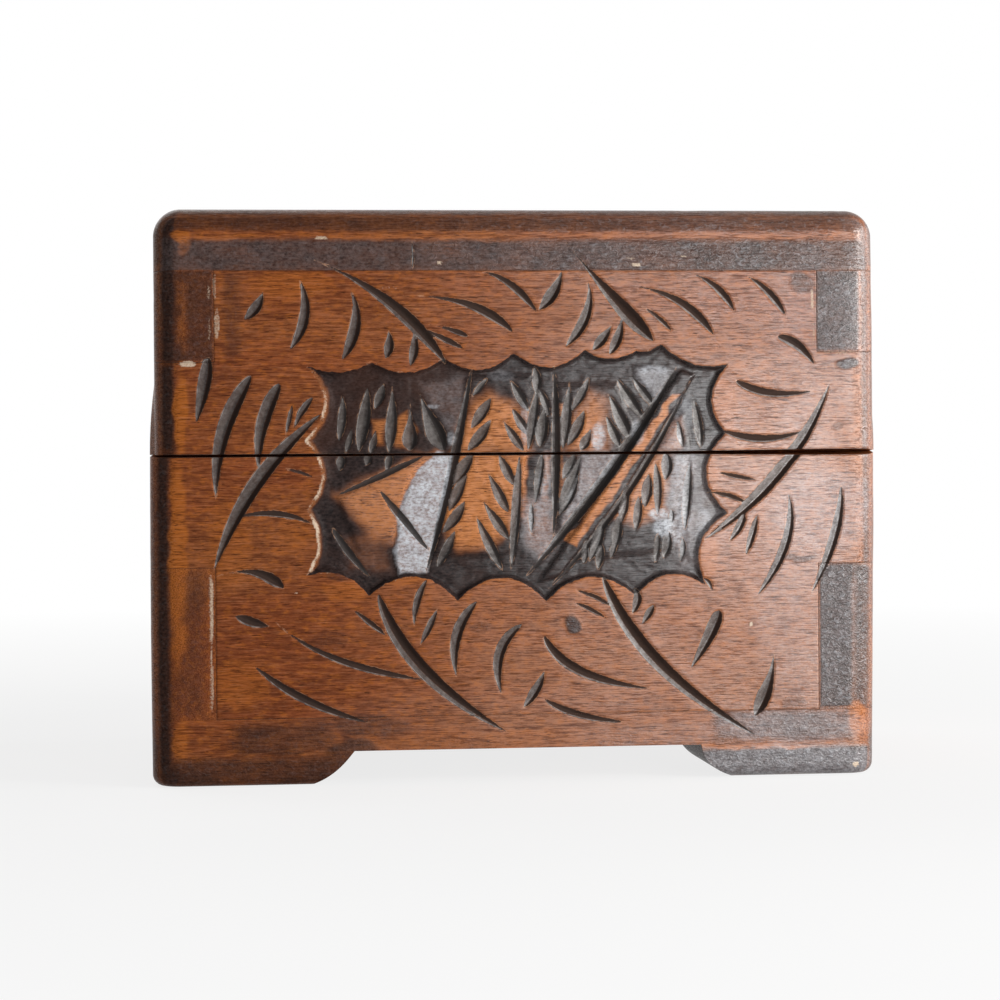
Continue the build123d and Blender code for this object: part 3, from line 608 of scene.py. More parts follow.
def lattice_noise(points, cell, seed):
    """Smooth value noise from -1 to 1 on a plane, the same for the same seed."""
    table = np.random.default_rng(seed).uniform(-1, 1, (NOISE_CELLS, NOISE_CELLS))
    scaled = points / cell
    whole = np.floor(scaled).astype(int)
    t = scaled - whole
    t = t * t * (3 - 2 * t)
    i, j = whole.T % NOISE_CELLS
    i2, j2 = (i + 1) % NOISE_CELLS, (j + 1) % NOISE_CELLS
    low = table[i, j] * (1 - t[:, 0]) + table[i2, j] * t[:, 0]
    high = table[i, j2] * (1 - t[:, 0]) + table[i2, j2] * t[:, 0]
    return low * (1 - t[:, 1]) + high * t[:, 1]


def wander(points, cell, seed):
    """Two value noises side by side, which shift points across and up."""
    return np.stack([lattice_noise(points, cell, seed), lattice_noise(points, cell, seed + 1)], 1)


def spray(u, v, heading, reach, bend, pairs, width):
    """A stem with pairs of leaves, as cuts: it starts at (u, v) and runs along heading in degrees."""
    start = np.array([u, v], float)
    along = np.array([math.cos(math.radians(heading)), math.sin(math.radians(heading))])
    left = np.array([-along[1], along[0]])
    end = start + along * reach
    middle = (start + end) / 2 + left * bend
    handle = 2 * middle - (start + end) / 2
    cuts = [(*start, *middle, *end, width, 0.4)]
    for pair in range(pairs):
        t = (pair + 0.7) / (pairs + 0.6)
        place = (1 - t) ** 2 * start + 2 * t * (1 - t) * handle + t ** 2 * end
        ahead = (1 - t) * (handle - start) + t * (end - handle)
        course = math.atan2(ahead[1], ahead[0])
        for hand in (-1, 1):
            turn = course + hand * math.radians(40 + 4 * hand - 3 * pair)
            leaf = np.array([math.cos(turn), math.sin(turn)])
            length = reach * (0.31 - 0.03 * pair)
            root = place + leaf * width * 0.9
            tip = root + leaf * length
            swell = np.array([-leaf[1], leaf[0]]) * hand * length * -0.12
            cuts.append((*root, *((root + tip) / 2 + swell), *tip, width * 0.72, 0.45))
    return cuts


# Cuts on the faces that the photograph doesn't show, in each face's own across and up
SIDE_CUTS = (
    spray(-40, 18, 38, 44, -4, 3, 2.6)
    + spray(40, 22, 140, 40, 4, 3, 2.6)
    + spray(-6, 44, 90, 30, 1.5, 3, 2.4)
    + spray(-42, 82, 24, 34, 3, 2, 2.4)
    + spray(42, 86, 160, 32, -3, 2, 2.4)
)
BACK_CUTS = (
    spray(-66, 20, 30, 52, -5, 4, 2.8)
    + spray(66, 20, 150, 52, 5, 4, 2.8)
    + spray(0, 16, 90, 44, 2, 4, 2.6)
    + spray(-62, 84, 12, 46, 3, 3, 2.4)
    + spray(62, 86, 168, 46, -3, 3, 2.4)
)
TOP_CUTS = (
    spray(-0.9 * SIDE, -0.84 * FRONT, 22, 0.9 * FRONT, 4, 3, 2.6)
    + spray(0.9 * SIDE, -0.84 * FRONT, 158, 0.9 * FRONT, -4, 3, 2.6)
    + spray(-0.9 * SIDE, 0.84 * FRONT, -22, 0.9 * FRONT, -4, 3, 2.6)
    + spray(0.9 * SIDE, 0.84 * FRONT, 202, 0.9 * FRONT, 4, 3, 2.6)
)
TOP_FIELD_CUTS = (
    spray(-0.38 * SIDE, -0.33 * FRONT, 58, 0.72 * FRONT, 3, 4, 2.4)
    + spray(-0.05 * SIDE, -0.35 * FRONT, 84, 0.68 * FRONT, -2, 4, 2.4)
    + spray(0.28 * SIDE, -0.35 * FRONT, 74, 0.68 * FRONT, -3, 4, 2.4)
)
TOP_FIELD_TONES = [
    ([(-34.0, 12.0), (-8.0, -2.0), (4.0, -14.0), (-26.0, -14.0)], 3.0, 0.1, 0.6, 0.0),
    ([(0.0, 12.0), (26.0, 14.0), (34.0, 0.0), (20.0, -8.0)], 3.0, 0.15, 0.5, 0.1),
]


def top_cusps():
    """The even scallops of the top's field, clockwise from its far left corner."""
    half_u, half_v = SIDE - 33.3, FRONT - 29.0
    corners = [(-half_u, half_v), (half_u, half_v), (half_u, -half_v), (-half_u, -half_v)]
    cusps = []
    for (u, v), (u_next, v_next), count in zip(corners, corners[1:] + corners[:1], (5, 3, 5, 3)):
        chord = math.hypot(u_next - u, v_next - v) / count
        for step in range(count):
            share = step / count
            cusps.append((u + (u_next - u) * share, v + (v_next - v) * share, 0.185 * chord, 1.0))
    return cusps


def field_relief(points, cusps, cuts, lines, levels, tones, glints, seed):
    """Depth and tones of a sunk scalloped field, painted sheen and a painted highlight on its rim among
    them, with the distances to its own edge and to its cuts.
    """
    outline, widths = scallops(cusps)
    ragged = points + 0.16 * wander(points, 1.1, seed)
    signed, edge = polygon(ragged, outline)
    wall = widths[edge]
    floor = np.full(len(points), FIELD_DEPTH)
    for shape, soft, left, right in levels:
        shape = np.array(shape, float)
        share = smooth(polygon(ragged, shape)[0], -soft, soft)
        across = (points[:, 0] - shape[:, 0].min()) / np.ptp(shape[:, 0])
        floor = floor * (1 - share) + (left + (right - left) * np.clip(across, 0, 1)) * share
    lacquer = np.full(len(points), 0.95)
    warm, sheen = np.zeros((2, len(points)))
    frayed = ragged + 0.5 * wander(points, 2.4, seed + 4)
    for shape, soft, lacquer_to, warm_to, sheen_to in tones:
        share = smooth(polygon(frayed, shape)[0], -soft, soft)
        lacquer = lacquer * (1 - share) + lacquer_to * share
        warm = warm * (1 - share) + warm_to * share
        sheen = sheen * (1 - share) + sheen_to * share
    # Painted highlights: the glints and the sheen of the tones
    sheen = np.maximum(sheen, spots(ragged, glints))

    chips, in_chips, past_chips = carve(points, cuts, CHIP_STEEPNESS, CHIP_VALLEY, CHIP_SWELL)
    grooves, in_grooves, past_grooves = carve(points, lines, LINE_STEEPNESS)
    floor = floor + np.maximum(chips * 0.9, grooves)
    floor = floor + 0.08 * lattice_noise(points, 2.3, seed + 2)
    floor = floor + 0.05 * lattice_noise(points, 0.9, seed + 3)
    depth = np.where(signed > 0, floor * smooth(signed / wall, 0.0, 1.0) ** 0.8, 0)

    within = smooth(signed / wall, -0.05, 0.35)
    deeper = in_grooves > in_chips
    # The long lines get painted shade over most of their width
    past = np.where(deeper, past_grooves + 0.35, past_chips)
    inside = np.minimum(np.maximum(in_chips, in_grooves), signed)
    # The rim gets a painted highlight along its edge, and the wide left walls, which face the light, a
    # stronger one and thinner lacquer
    left_wall = smooth(wall, 1.5, 2.1)
    rim = 0.45 * np.exp(-((signed + 0.12) / 0.24) ** 2)
    rim = rim + 0.8 * left_wall * smooth(signed, -0.3, 0.1) * (1 - smooth(signed, 0.3, 1.1))
    lacquer = lacquer * (1 - 0.5 * left_wall * (1 - smooth(signed, 0.4, 1.4)))
    return depth, rim, warm * within, sheen * within, inside, past, lacquer, signed


# The carved faces, each with outward direction and how its across and up follow from a place
FACES = {
    "front": ((0, -1, 0), lambda p: np.stack([p[:, 0] + FRONT_OFFSET, p[:, 2]], 1)),
    "right": ((1, 0, 0), lambda p: np.stack([p[:, 1], p[:, 2]], 1)),
    "back": ((0, 1, 0), lambda p: np.stack([-p[:, 0], p[:, 2]], 1)),
    "left": ((-1, 0, 0), lambda p: np.stack([-p[:, 1], p[:, 2]], 1)),
    "top": ((0, 0, 1), lambda p: np.stack([p[:, 0], p[:, 1]], 1)),
}
FACE_CUTS = {"front": FRONT_CUTS, "right": SIDE_CUTS, "back": BACK_CUTS, "left": SIDE_CUTS, "top": TOP_CUTS}

# What field_relief needs for the two sunk fields, the last value being the first seed of their noise
FIELDS = {
    "front": (FRONT_CUSPS, FIELD_CUTS, FIELD_LINES, FIELD_LEVELS, FIELD_TONES, FIELD_GLINTS, 50),
    "top": (top_cusps(), TOP_FIELD_CUTS, [], [], TOP_FIELD_TONES, [], 60),
}

# What the meshes carry from 0 to 1 for the wood material, after the depth in face_relief's result; the
# sheen is a painted sheen, slope marks the side of a cut with painted shade, and the stain, wear and
# paleness carry painted shade, highlight and light in places
TONES = ("stain_and_shade", "worn_and_lit", "warm", "sheen", "cut", "slope", "lacquer", "field", "polish", "pale_and_lit")


def front_polish(points):
    """How much the lacquer shines along the front: dull at the left, bright towards the right."""
    u, v = points.T
    bright = 1 - smooth(np.hypot((u - 57.0) / 26.0, (v - 64.0) / 28.0), 0.35, 1.1)
    corner = smooth(u, 71.0, 75.0) * (0.15 + 0.25 * smooth(v, 68.0, 72.0))
    shine = 0.02 + 0.6 * smooth(u, -36.0, 52.0) + np.maximum(0.38 * bright, corner)
    shine = shine * (1 - 0.75 * smooth(u, 78.0, 80.0))
    return np.clip(shine * (0.95 + 0.2 * lattice_noise(points, 6.0, 97)), 0, 1)


def front_tones(points):
    """Stain, wear, warmth, sheen, polish and paleness of the front, outside its field, with painted shade,
    sheen and light among them.
    """
    u, v = points.T
    frayed = points + 0.7 * wander(points, 3.0, 95)
    warm = spots(frayed, WARM_SPOTS)
    strip = smooth(v, LID_HIGH - 0.2, LID_HIGH + 0.2) * (1 - smooth(v, 116.6, 118.6))
    # Stain, darker over the rounded top edge and darkest along the left rounded edge, where it is painted
    # shade as well
    stain_and_shade = np.maximum(spots(frayed, STAIN_SPOTS), blocks(points, STAIN_AND_SHADE_BLOCKS))
    stain_and_shade = np.maximum(stain_and_shade, 0.76 * strip)
    stain_and_shade = np.maximum(stain_and_shade, 0.6 * smooth(v, 118.6, 120.0)) * (1 - 0.75 * warm)
    worn_and_lit = spots(points + 0.25 * (frayed - points), WORN_SPOTS)
    # Painted sheen, with a faint grey painted sheen along the lid's stained strip towards the left
    sheen = np.maximum(spots(frayed, SHEEN_SPOTS), 0.08 * strip * (1 - smooth(u, 0.0, 50.0)))
    # Paler from the left towards the middle and right, less on the lid: painted light for the lighting's
    # fall-off
    pale_and_lit = smooth(u, -52.0, 2.0) * (1 - 0.6 * smooth(v, 72.0, 104.0))
    return stain_and_shade, worn_and_lit, warm, sheen, front_polish(points), pale_and_lit


def top_tones(points):
    """The same tones of the top, which is stained along its edges."""
    u, v = points.T
    margin = np.minimum(SIDE - np.abs(u), FRONT - np.abs(v))
    stain_and_shade = 0.6 * (1 - smooth(margin, 5.0, 9.0))
    warm = 0.5 * np.clip(lattice_noise(points, 17.0, 83), 0, 1)
    worn_and_lit, sheen = np.zeros((2, len(points)))
    polish = 0.10 + 0.3 * smooth(u, -50.0, 70.0)
    pale_and_lit = 0.35 + 0.35 * lattice_noise(points, 21.0, 88)
    return stain_and_shade, worn_and_lit, warm, sheen, polish, pale_and_lit


def side_tones(name, points):
    """The same tones of the sides and the back, stained along corners, top and bottom."""
    u, v = points.T
    reach = SIDE if name == "back" else FRONT
    border = smooth(np.abs(u), reach - WALL + 0.5, reach - WALL + 2.0)
    blotch = 0.5 + 0.5 * lattice_noise(points, 14.0, 70 + len(name))
    stain_and_shade = np.maximum(border * blotch * 0.6, 0.6 * smooth(v, LID_HIGH, LID_HIGH + 2.0))
    stain_and_shade = np.maximum(stain_and_shade, 0.5 * (1 - smooth(v, FLOOR_LOW, BASE_LOW)) * (0.6 + blotch))
    warm = 0.5 * np.clip(lattice_noise(points, 17.0, 80 + len(name)), 0, 1)
    worn_and_lit, sheen = np.zeros((2, len(points)))
    polish = np.full(len(points), 0.35)
    if name == "right":
        polish = polish + 0.6 * (1 - smooth(u, -FRONT, -FRONT + 16.0))
    if name == "left":
        polish = 0.05 + 0.3 * (1 - smooth(u, FRONT - 30.0, FRONT))
    pale_and_lit = 0.35 + 0.35 * lattice_noise(points, 21.0, 88)
    return stain_and_shade, worn_and_lit, warm, sheen, polish, pale_and_lit


def face_relief(name, points):
    """Depth and the tones of one face at points across and up."""
    depth, inside, past = carve(points, FACE_CUTS[name])
    if name == "front":
        tones = front_tones(points)
    elif name == "top":
        tones = top_tones(points)
    else:
        tones = side_tones(name, points)
    stain_and_shade, worn_and_lit, warm, sheen, polish, pale_and_lit = tones
    lacquer = np.zeros(len(points))
    signed = np.full(len(points), -EDGE_REACH)
    if name in FIELDS:
        field = field_relief(points, *FIELDS[name])
        sunk, rim, warm_in, sheen_in, inside_in, past_in, lacquer, signed = field
        depth = np.maximum(depth, sunk)
        # The field's rim adds its painted highlight to the wear
        worn_and_lit = np.maximum(worn_and_lit, rim * (0.6 + 0.5 * lattice_noise(points, 1.7, 90)))
        warm = np.maximum(warm, warm_in)
        sheen = np.maximum(sheen, sheen_in)
        past = np.where(inside_in > inside, past_in, past)
        inside = np.maximum(inside, inside_in)
    depth = depth + 0.05 * lattice_noise(points, 9.0, 91) + 0.025 * lattice_noise(points, 2.2, 92)
    return depth, stain_and_shade, worn_and_lit, warm, sheen, kept(inside), kept(past), lacquer, kept(signed), polish, pale_and_lit


def rounded(points):
    """Points of the sharp-edged chest moved onto its rounded form, with the outward direction."""
    limit = np.array([SIDE, FRONT, HEIGHT])
    core_low = np.array([-SIDE + CORNER_ROUND, -FRONT + CORNER_ROUND, -1e9])
    core_high = limit - CORNER_ROUND
    core = np.clip(points, core_low, core_high)
    away = points - core
    reach = np.abs(away).max(1)
    length = np.maximum(np.linalg.norm(away, axis=1), 1e-9)
    normal = away / length[:, None]
    moved = core + normal * reach[:, None]
    low = np.clip(FOOT_ROUND - points[:, 2], 0, FOOT_ROUND)
    pull = FOOT_ROUND - np.sqrt(np.maximum(FOOT_ROUND ** 2 - low ** 2, 0))
    flat = normal * np.array([1, 1, 0])
    moved = moved - flat * (pull * smooth(reach / CORNER_ROUND, 0.2, 1.0))[:, None]
    return moved, normal


def skin_relief(points, normal):
    """Depth and tones at points on the outside, blended over the faces that the normals point to."""
    total = np.zeros((1 + len(TONES), len(points)))
    for name, (outward, place) in FACES.items():
        facing = normal @ np.array(outward, float)
        near = facing > 0.45
        if not near.any():
            continue
        relief = np.array(face_relief(name, place(points[near])))
        weight = smooth(facing[near], 0.5, 0.86)
        if name == "front":
            total[:, near] = total[:, near] * (1 - weight) + relief * weight
        else:
            total[:, near] = np.maximum(total[:, near], relief * weight)
    return total


def ladder(breaks, pitch, edge=EDGE_STEP):
    """Grid lines from the first to the last break, at about one pitch, with a fine step at each break."""
    lines = []
    for low, high in zip(breaks, breaks[1:]):
        count = max(int(round((high - low - 2 * edge) / pitch)), 1)
        lines += [low] + list(np.linspace(low + edge, high - edge, count + 1))
    return np.array(lines + [breaks[-1]])


def prism_mesh(outline, pitch, layers, outer):
    """A closed board: an outline of right angles, gridded along its edges and, as a rule, outside.

    Its points are across, up and depth, and layers are the depths along the edges.
    """
    outline = [tuple(float(c) for c in corner) for corner in outline]
    us = ladder(sorted({u for u, _ in outline}), pitch[0])
    vs = ladder(sorted({v for _, v in outline}), pitch[1])
    u_index = {round(u, 4): i for i, u in enumerate(us)}
    v_index = {round(v, 4): j for j, v in enumerate(vs)}

    walk = []
    for (u, v), (u_next, v_next) in zip(outline, outline[1:] + outline[:1]):
        i, j = u_index[round(u, 4)], v_index[round(v, 4)]
        i_next, j_next = u_index[round(u_next, 4)], v_index[round(v_next, 4)]
        steps = max(abs(i_next - i), abs(j_next - j))
        for k in range(steps):
            walk.append((i + (i_next - i) * k // steps, j + (j_next - j) * k // steps))

    middles = np.stack(np.meshgrid((us[1:] + us[:-1]) / 2, (vs[1:] + vs[:-1]) / 2, indexing="ij"), -1)
    filled = polygon(middles.reshape(-1, 2), outline)[0].reshape(middles.shape[:2]) > 0

    uvw, faces = [], []
    if outer == "grid":
        used = np.zeros((len(us), len(vs)), bool)
        for di, dj in ((0, 0), (0, 1), (1, 0), (1, 1)):
            used[di:len(us) - 1 + di, dj:len(vs) - 1 + dj] |= filled
        number = np.full(used.shape, -1)
        ii, jj = np.nonzero(used)
        number[ii, jj] = np.arange(len(ii))
        uvw.append(np.stack([us[ii], vs[jj], np.full(len(ii), layers[0])], 1))
        ci, cj = np.nonzero(filled)
        corners = ((0, 0), (1, 0), (1, 1), (0, 1))
        faces.append(np.stack([number[ci + di, cj + dj] for di, dj in corners], 1))
        rings = [np.array([number[i, j] for i, j in walk])]
        start = len(ii)
    else:
        uvw.append(np.array([(us[i], vs[j], layers[0]) for i, j in walk]))
        rings = [np.arange(len(walk))]
        start = len(walk)
    for layer in layers[1:]:
        uvw.append(np.array([(us[i], vs[j], layer) for i, j in walk]))
        rings.append(np.arange(start, start + len(walk)))
        start += len(walk)
    for upper, lower in zip(rings, rings[1:]):
        faces.append(np.stack([upper, lower, np.roll(lower, -1), np.roll(upper, -1)], 1))
    caps = [list(rings[-1][::-1])]
    if outer != "grid":
        caps.append(list(rings[0]))
    return np.concatenate(uvw), np.concatenate(faces), caps, rings


def on_skin(points):
    """Which points of the sharp-edged chest lie on its outside."""
    sides = np.abs(np.abs(points[:, 0]) - SIDE) < TOUCH
    ends = np.abs(np.abs(points[:, 1]) - FRONT) < TOUCH
    return sides | ends | (np.abs(points[:, 2] - HEIGHT) < TOUCH)


def lip_swell(points):
    """How far the lid's side boards stand proud along their rims."""
    up = np.clip((points[:, 2] - LID_RIM) / LIP_HEIGHT, 0, 1)
    along = 1 - smooth(np.abs(points[:, 1]), LIP_END - 1.5, LIP_END)
    swell = LIP_PROUD * (1 - up ** 2) * along
    on_lid = (points[:, 2] > LID_RIM - TOUCH) & (np.abs(np.abs(points[:, 0]) - SIDE) < TOUCH)
    return np.where(on_lid, swell, 0)


def rim_step(points):
    """How far the inner half of the rims of front and sides stands above the outer half."""
    inner = smooth(FRONT + points[:, 1], 0.40 * WALL, 0.52 * WALL)
    inner = inner * smooth(SIDE - np.abs(points[:, 0]), -0.3, 0.8) * (points[:, 1] < FRONT - WALL + TOUCH)
    at_base = np.abs(points[:, 2] - BASE_RIM) < TOUCH
    at_lid = np.abs(points[:, 2] - LID_RIM) < TOUCH
    return STEP_HEIGHT * inner * (at_base + 0.85 * at_lid)


def side_set(points, body):
    """How far the sides lean in or out along the width, a little uneven as made by hand."""
    up = points[:, 2] / HEIGHT
    if body == "lid":
        left, right = 0.6, 0.2 - 1.2 * np.clip(up - 0.8, 0, 1)
    else:
        left, right = -0.55 + 1.2 * np.abs(up - 0.35) ** 1.5, 0.35 - 1.6 * np.clip(0.45 - up, 0, 1)
    near = smooth(np.abs(points[:, 0]), SIDE - WALL, SIDE - 1.0)
    return near * np.where(points[:, 0] < 0, left, right)


def add_object(name, data):
    """A new object in the scene."""
    piece = bpy.data.objects.new(name, data)
    bpy.context.scene.collection.objects.link(piece)
    return piece


def turn_outwards(mesh):
    """Makes all the faces of a closed mesh look outwards."""
    fix = bmesh.new()
    fix.from_mesh(mesh)
    bmesh.ops.recalc_face_normals(fix, faces=fix.faces)
    fix.to_mesh(mesh)
    fix.free()


def board_tones(sharp, skin, normal, rings, layers):
    """Depth and tones of a board, and which of its points lie in the sunk line along a joint."""
    relief = np.zeros((1 + len(TONES), len(sharp)))
    relief[:, skin] = skin_relief(sharp[skin], normal[skin])
    outer = rings[0]
    for ring, layer in zip(rings[1:], layers[1:]):
        buried = ~skin[ring]
        share = (layer - layers[0]) / (layers[-1] - layers[0])
        lasting = EDGE_TONE * max(0.0, 1 - EDGE_FADE * share)
        relief[1:, ring[buried]] = relief[1:, outer[buried]] * lasting
        in_joint = np.abs(sharp[ring, 2] - SEAM) > (LID_RIM - BASE_RIM) / 2 + TOUCH
        relief[1 + TONES.index("stain_and_shade"), ring[buried & in_joint]] = JOINT_STAIN
    crease = np.zeros(len(sharp), bool)
    crease[outer] = skin[outer] & ~skin[rings[1]]
    for tone in ("stain_and_shade", "cut", "slope"):
        row = 1 + TONES.index(tone)
        relief[row] = np.maximum(relief[row], CREASE_TONE * crease)
    relief[1:, rings[-1]] = 0
    return relief, crease


def make_board(name, outline, pitch, layers, place, material, body,
               outer="grid", warp=None, extra=None):
    """Builds a board's mesh, rounds and carves it, stores its tones and lets it stand for its node."""
    layers = np.concatenate([layers[:-1], [layers[-1] - INNER_STEP, layers[-1]]])
    uvw, quads, caps, rings = prism_mesh(outline, pitch, layers, outer)
    sharp = place(uvw)
    skin = on_skin(sharp)
    moved, normal = rounded(sharp)
    relief, crease = board_tones(sharp, skin, normal, rings, layers)
    depth = relief[0]

    ring_depth = depth[rings[0]]
    total = layers[-1] - layers[0]
    hidden = uvw.copy()
    for ring, layer in zip(rings[1:], layers[1:]):
        buried = ~skin[ring]
        share = (layer - layers[0]) / total
        hidden[ring[buried], 2] = layers[0] + ring_depth[buried] + (total - ring_depth[buried]) * share
    moved_hidden, _ = rounded(place(hidden))
    moved = np.where(skin[:, None], moved, moved_hidden)
    moved[:, 2] += rim_step(sharp)
    depth = depth + CREASE_DEPTH * crease - lip_swell(sharp) * (np.abs(normal[:, 0]) > 0.9)
    moved = moved - normal * (depth * skin)[:, None]
    moved[:, 0] += side_set(moved, body)
    if warp:
        moved = warp(moved)

    mesh = bpy.data.meshes.new(name)
    mesh.from_pydata((moved * MM).tolist(), [], quads.tolist() + caps)
    for label, values in zip(TONES, relief[1:]):
        attribute = mesh.attributes.new(label, "FLOAT", "POINT")
        attribute.data.foreach_set("value", values.astype(np.float32))
    mesh.update()
    turn_outwards(mesh)
    mesh.shade_smooth()
    mark_sharp(mesh, rings)
    mesh.materials.append(material)
    piece = add_object(name + "_carved", mesh)
    if extra:
        extra(piece)
    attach(piece, body)
    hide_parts(name)


def mark_sharp(mesh, rings):
    """Marks the edges of the outline as sharp, so that the joints stay crisp."""
    border = set()
    for ring in (rings[0], rings[-1]):
        border.update((min(a, b), max(a, b)) for a, b in zip(ring, np.roll(ring, -1)))
    ends = np.zeros(len(mesh.edges) * 2, int)
    mesh.edges.foreach_get("vertices", ends)
    ends = np.sort(ends.reshape(-1, 2), axis=1)
    flags = np.array([(a, b) in border for a, b in ends.tolist()])
    attribute = mesh.attributes.new("sharp_edge", "BOOLEAN", "EDGE")
    attribute.data.foreach_set("value", flags)


# Colours of the wood, its stains and its lacquer, and of the painted highlights, sheen and shade
BROWN = (0.270, 0.087, 0.030)
RED_BROWN = (0.235, 0.063, 0.021)
DARK_BROWN = (0.090, 0.026, 0.011)
PALE_BROWN = (0.400, 0.170, 0.080)
PORE_BROWN = (0.035, 0.012, 0.006)
ORANGE = (0.430, 0.128, 0.020)
BARE = (0.540, 0.205, 0.066)
STAIN_DARK = (0.022, 0.010, 0.007)
STAIN_LIGHT = (0.072, 0.034, 0.025)
LACQUER_DARK = (0.012, 0.009, 0.009)
LACQUER_LIGHT = (0.046, 0.031, 0.029)
LACQUER_THIN = (0.075, 0.028, 0.015)
STROKE_DARK = (0.036, 0.027, 0.024)
# Painted highlight on the lit side of cuts, then painted shade on their shaded side, outside and in the
# field
STROKE_PAINTED_HIGHLIGHT = (0.360, 0.340, 0.330)
SHADE_DARK = (0.042, 0.031, 0.027)
SHADE_GREY = (0.056, 0.049, 0.047)
# Painted sheen: a grey painted reflection mixed into the colour
PAINTED_SHEEN_GREY = (0.50, 0.52, 0.56)
BURR = (0.50, 0.28, 0.17)
# Wear, also used for the painted highlight on the field's rim
SCUFF_AND_HIGHLIGHT = (0.56, 0.44, 0.33)


class Nodes:
    """A node tree that is built up line by line."""

    def __init__(self, owner, output):
        owner.use_nodes = True
        self.tree = owner.node_tree
        self.tree.nodes.clear()
        self.output = self.new(output)

    def new(self, kind):
        """A new shader node."""
        return self.tree.nodes.new("ShaderNode" + kind)

    def link(self, value, socket):
        """Feeds a socket with a link, a number or a colour."""
        if isinstance(value, (int, float)):
            socket.default_value = value
        elif isinstance(value, tuple):
            socket.default_value = (*value, 1)
        else:
            self.tree.links.new(value, socket)

    def math(self, operation, *values, clamp=False):
        """A Math node's result."""
        node = self.new("Math")
        node.operation = operation
        node.use_clamp = clamp
        for value, socket in zip(values, node.inputs):
            self.link(value, socket)
        return node.outputs[0]

    def add(self, *values, clamp=False):
        """The sum."""
        return self.math("ADD", *values, clamp=clamp)

    def less(self, *values, clamp=False):
        """The first value less the second."""
        return self.math("SUBTRACT", *values, clamp=clamp)

    def times(self, *values, clamp=False):
        """The product."""
        return self.math("MULTIPLY", *values, clamp=clamp)

    def most(self, *values):
        """The greater one."""
        return self.math("MAXIMUM", *values)

    def mix(self, share, first, second):
        """A colour mix's result."""
        node = self.new("Mix")
        node.data_type = "RGBA"
        for key, value in ((0, share), (6, first), (7, second)):
            self.link(value, node.inputs[key])
        return node.outputs[2]

    def ramp(self, source, *stops):
        """A ramp of greys through (place, value) stops."""
        node = self.new("ValToRGB")
        elements = node.color_ramp.elements
        for element, (place, value) in zip(elements, stops):
            element.position = place
            element.color = (value, value, value, 1)
        self.link(source, node.inputs[0])
        return node.outputs[0]

    def noise(self, vector, scale, detail=3.0, rough=0.55, distortion=0.0):
        """A noise texture's value."""
        node = self.new("TexNoise")
        settings = {"Vector": vector, "Scale": scale, "Detail": detail, "Roughness": rough,
                    "Distortion": distortion}
        for name, value in settings.items():
            self.link(value, node.inputs[name])
        return node.outputs[0]

    def place(self):
        """The place on the object."""
        return self.new("TexCoord").outputs["Object"]

    def stretched(self, source, scale, shift=(0, 0, 0)):
        """Coordinates scaled apart along the axes and shifted."""
        node = self.new("Mapping")
        node.inputs["Location"].default_value = shift
        node.inputs["Scale"].default_value = scale
        self.link(source, node.inputs["Vector"])
        return node.outputs[0]

    def attribute(self, name):
        """A mesh attribute's value."""
        node = self.new("Attribute")
        node.attribute_name = name
        return node.outputs["Fac"]

    def bump(self, height, strength, distance):
        """A normal that follows a height."""
        node = self.new("Bump")
        for name, value in (("Strength", strength), ("Distance", distance), ("Height", height)):
            self.link(value, node.inputs[name])
        return node.outputs[0]

    def finish(self, **sockets):
        """A Principled shader on the output, its sockets named with _ for each space."""
        shader = self.new("BsdfPrincipled")
        for name, value in sockets.items():
            self.link(value, shader.inputs[name.replace("_", " ")])
        self.link(shader.outputs[0], self.output.inputs[0])


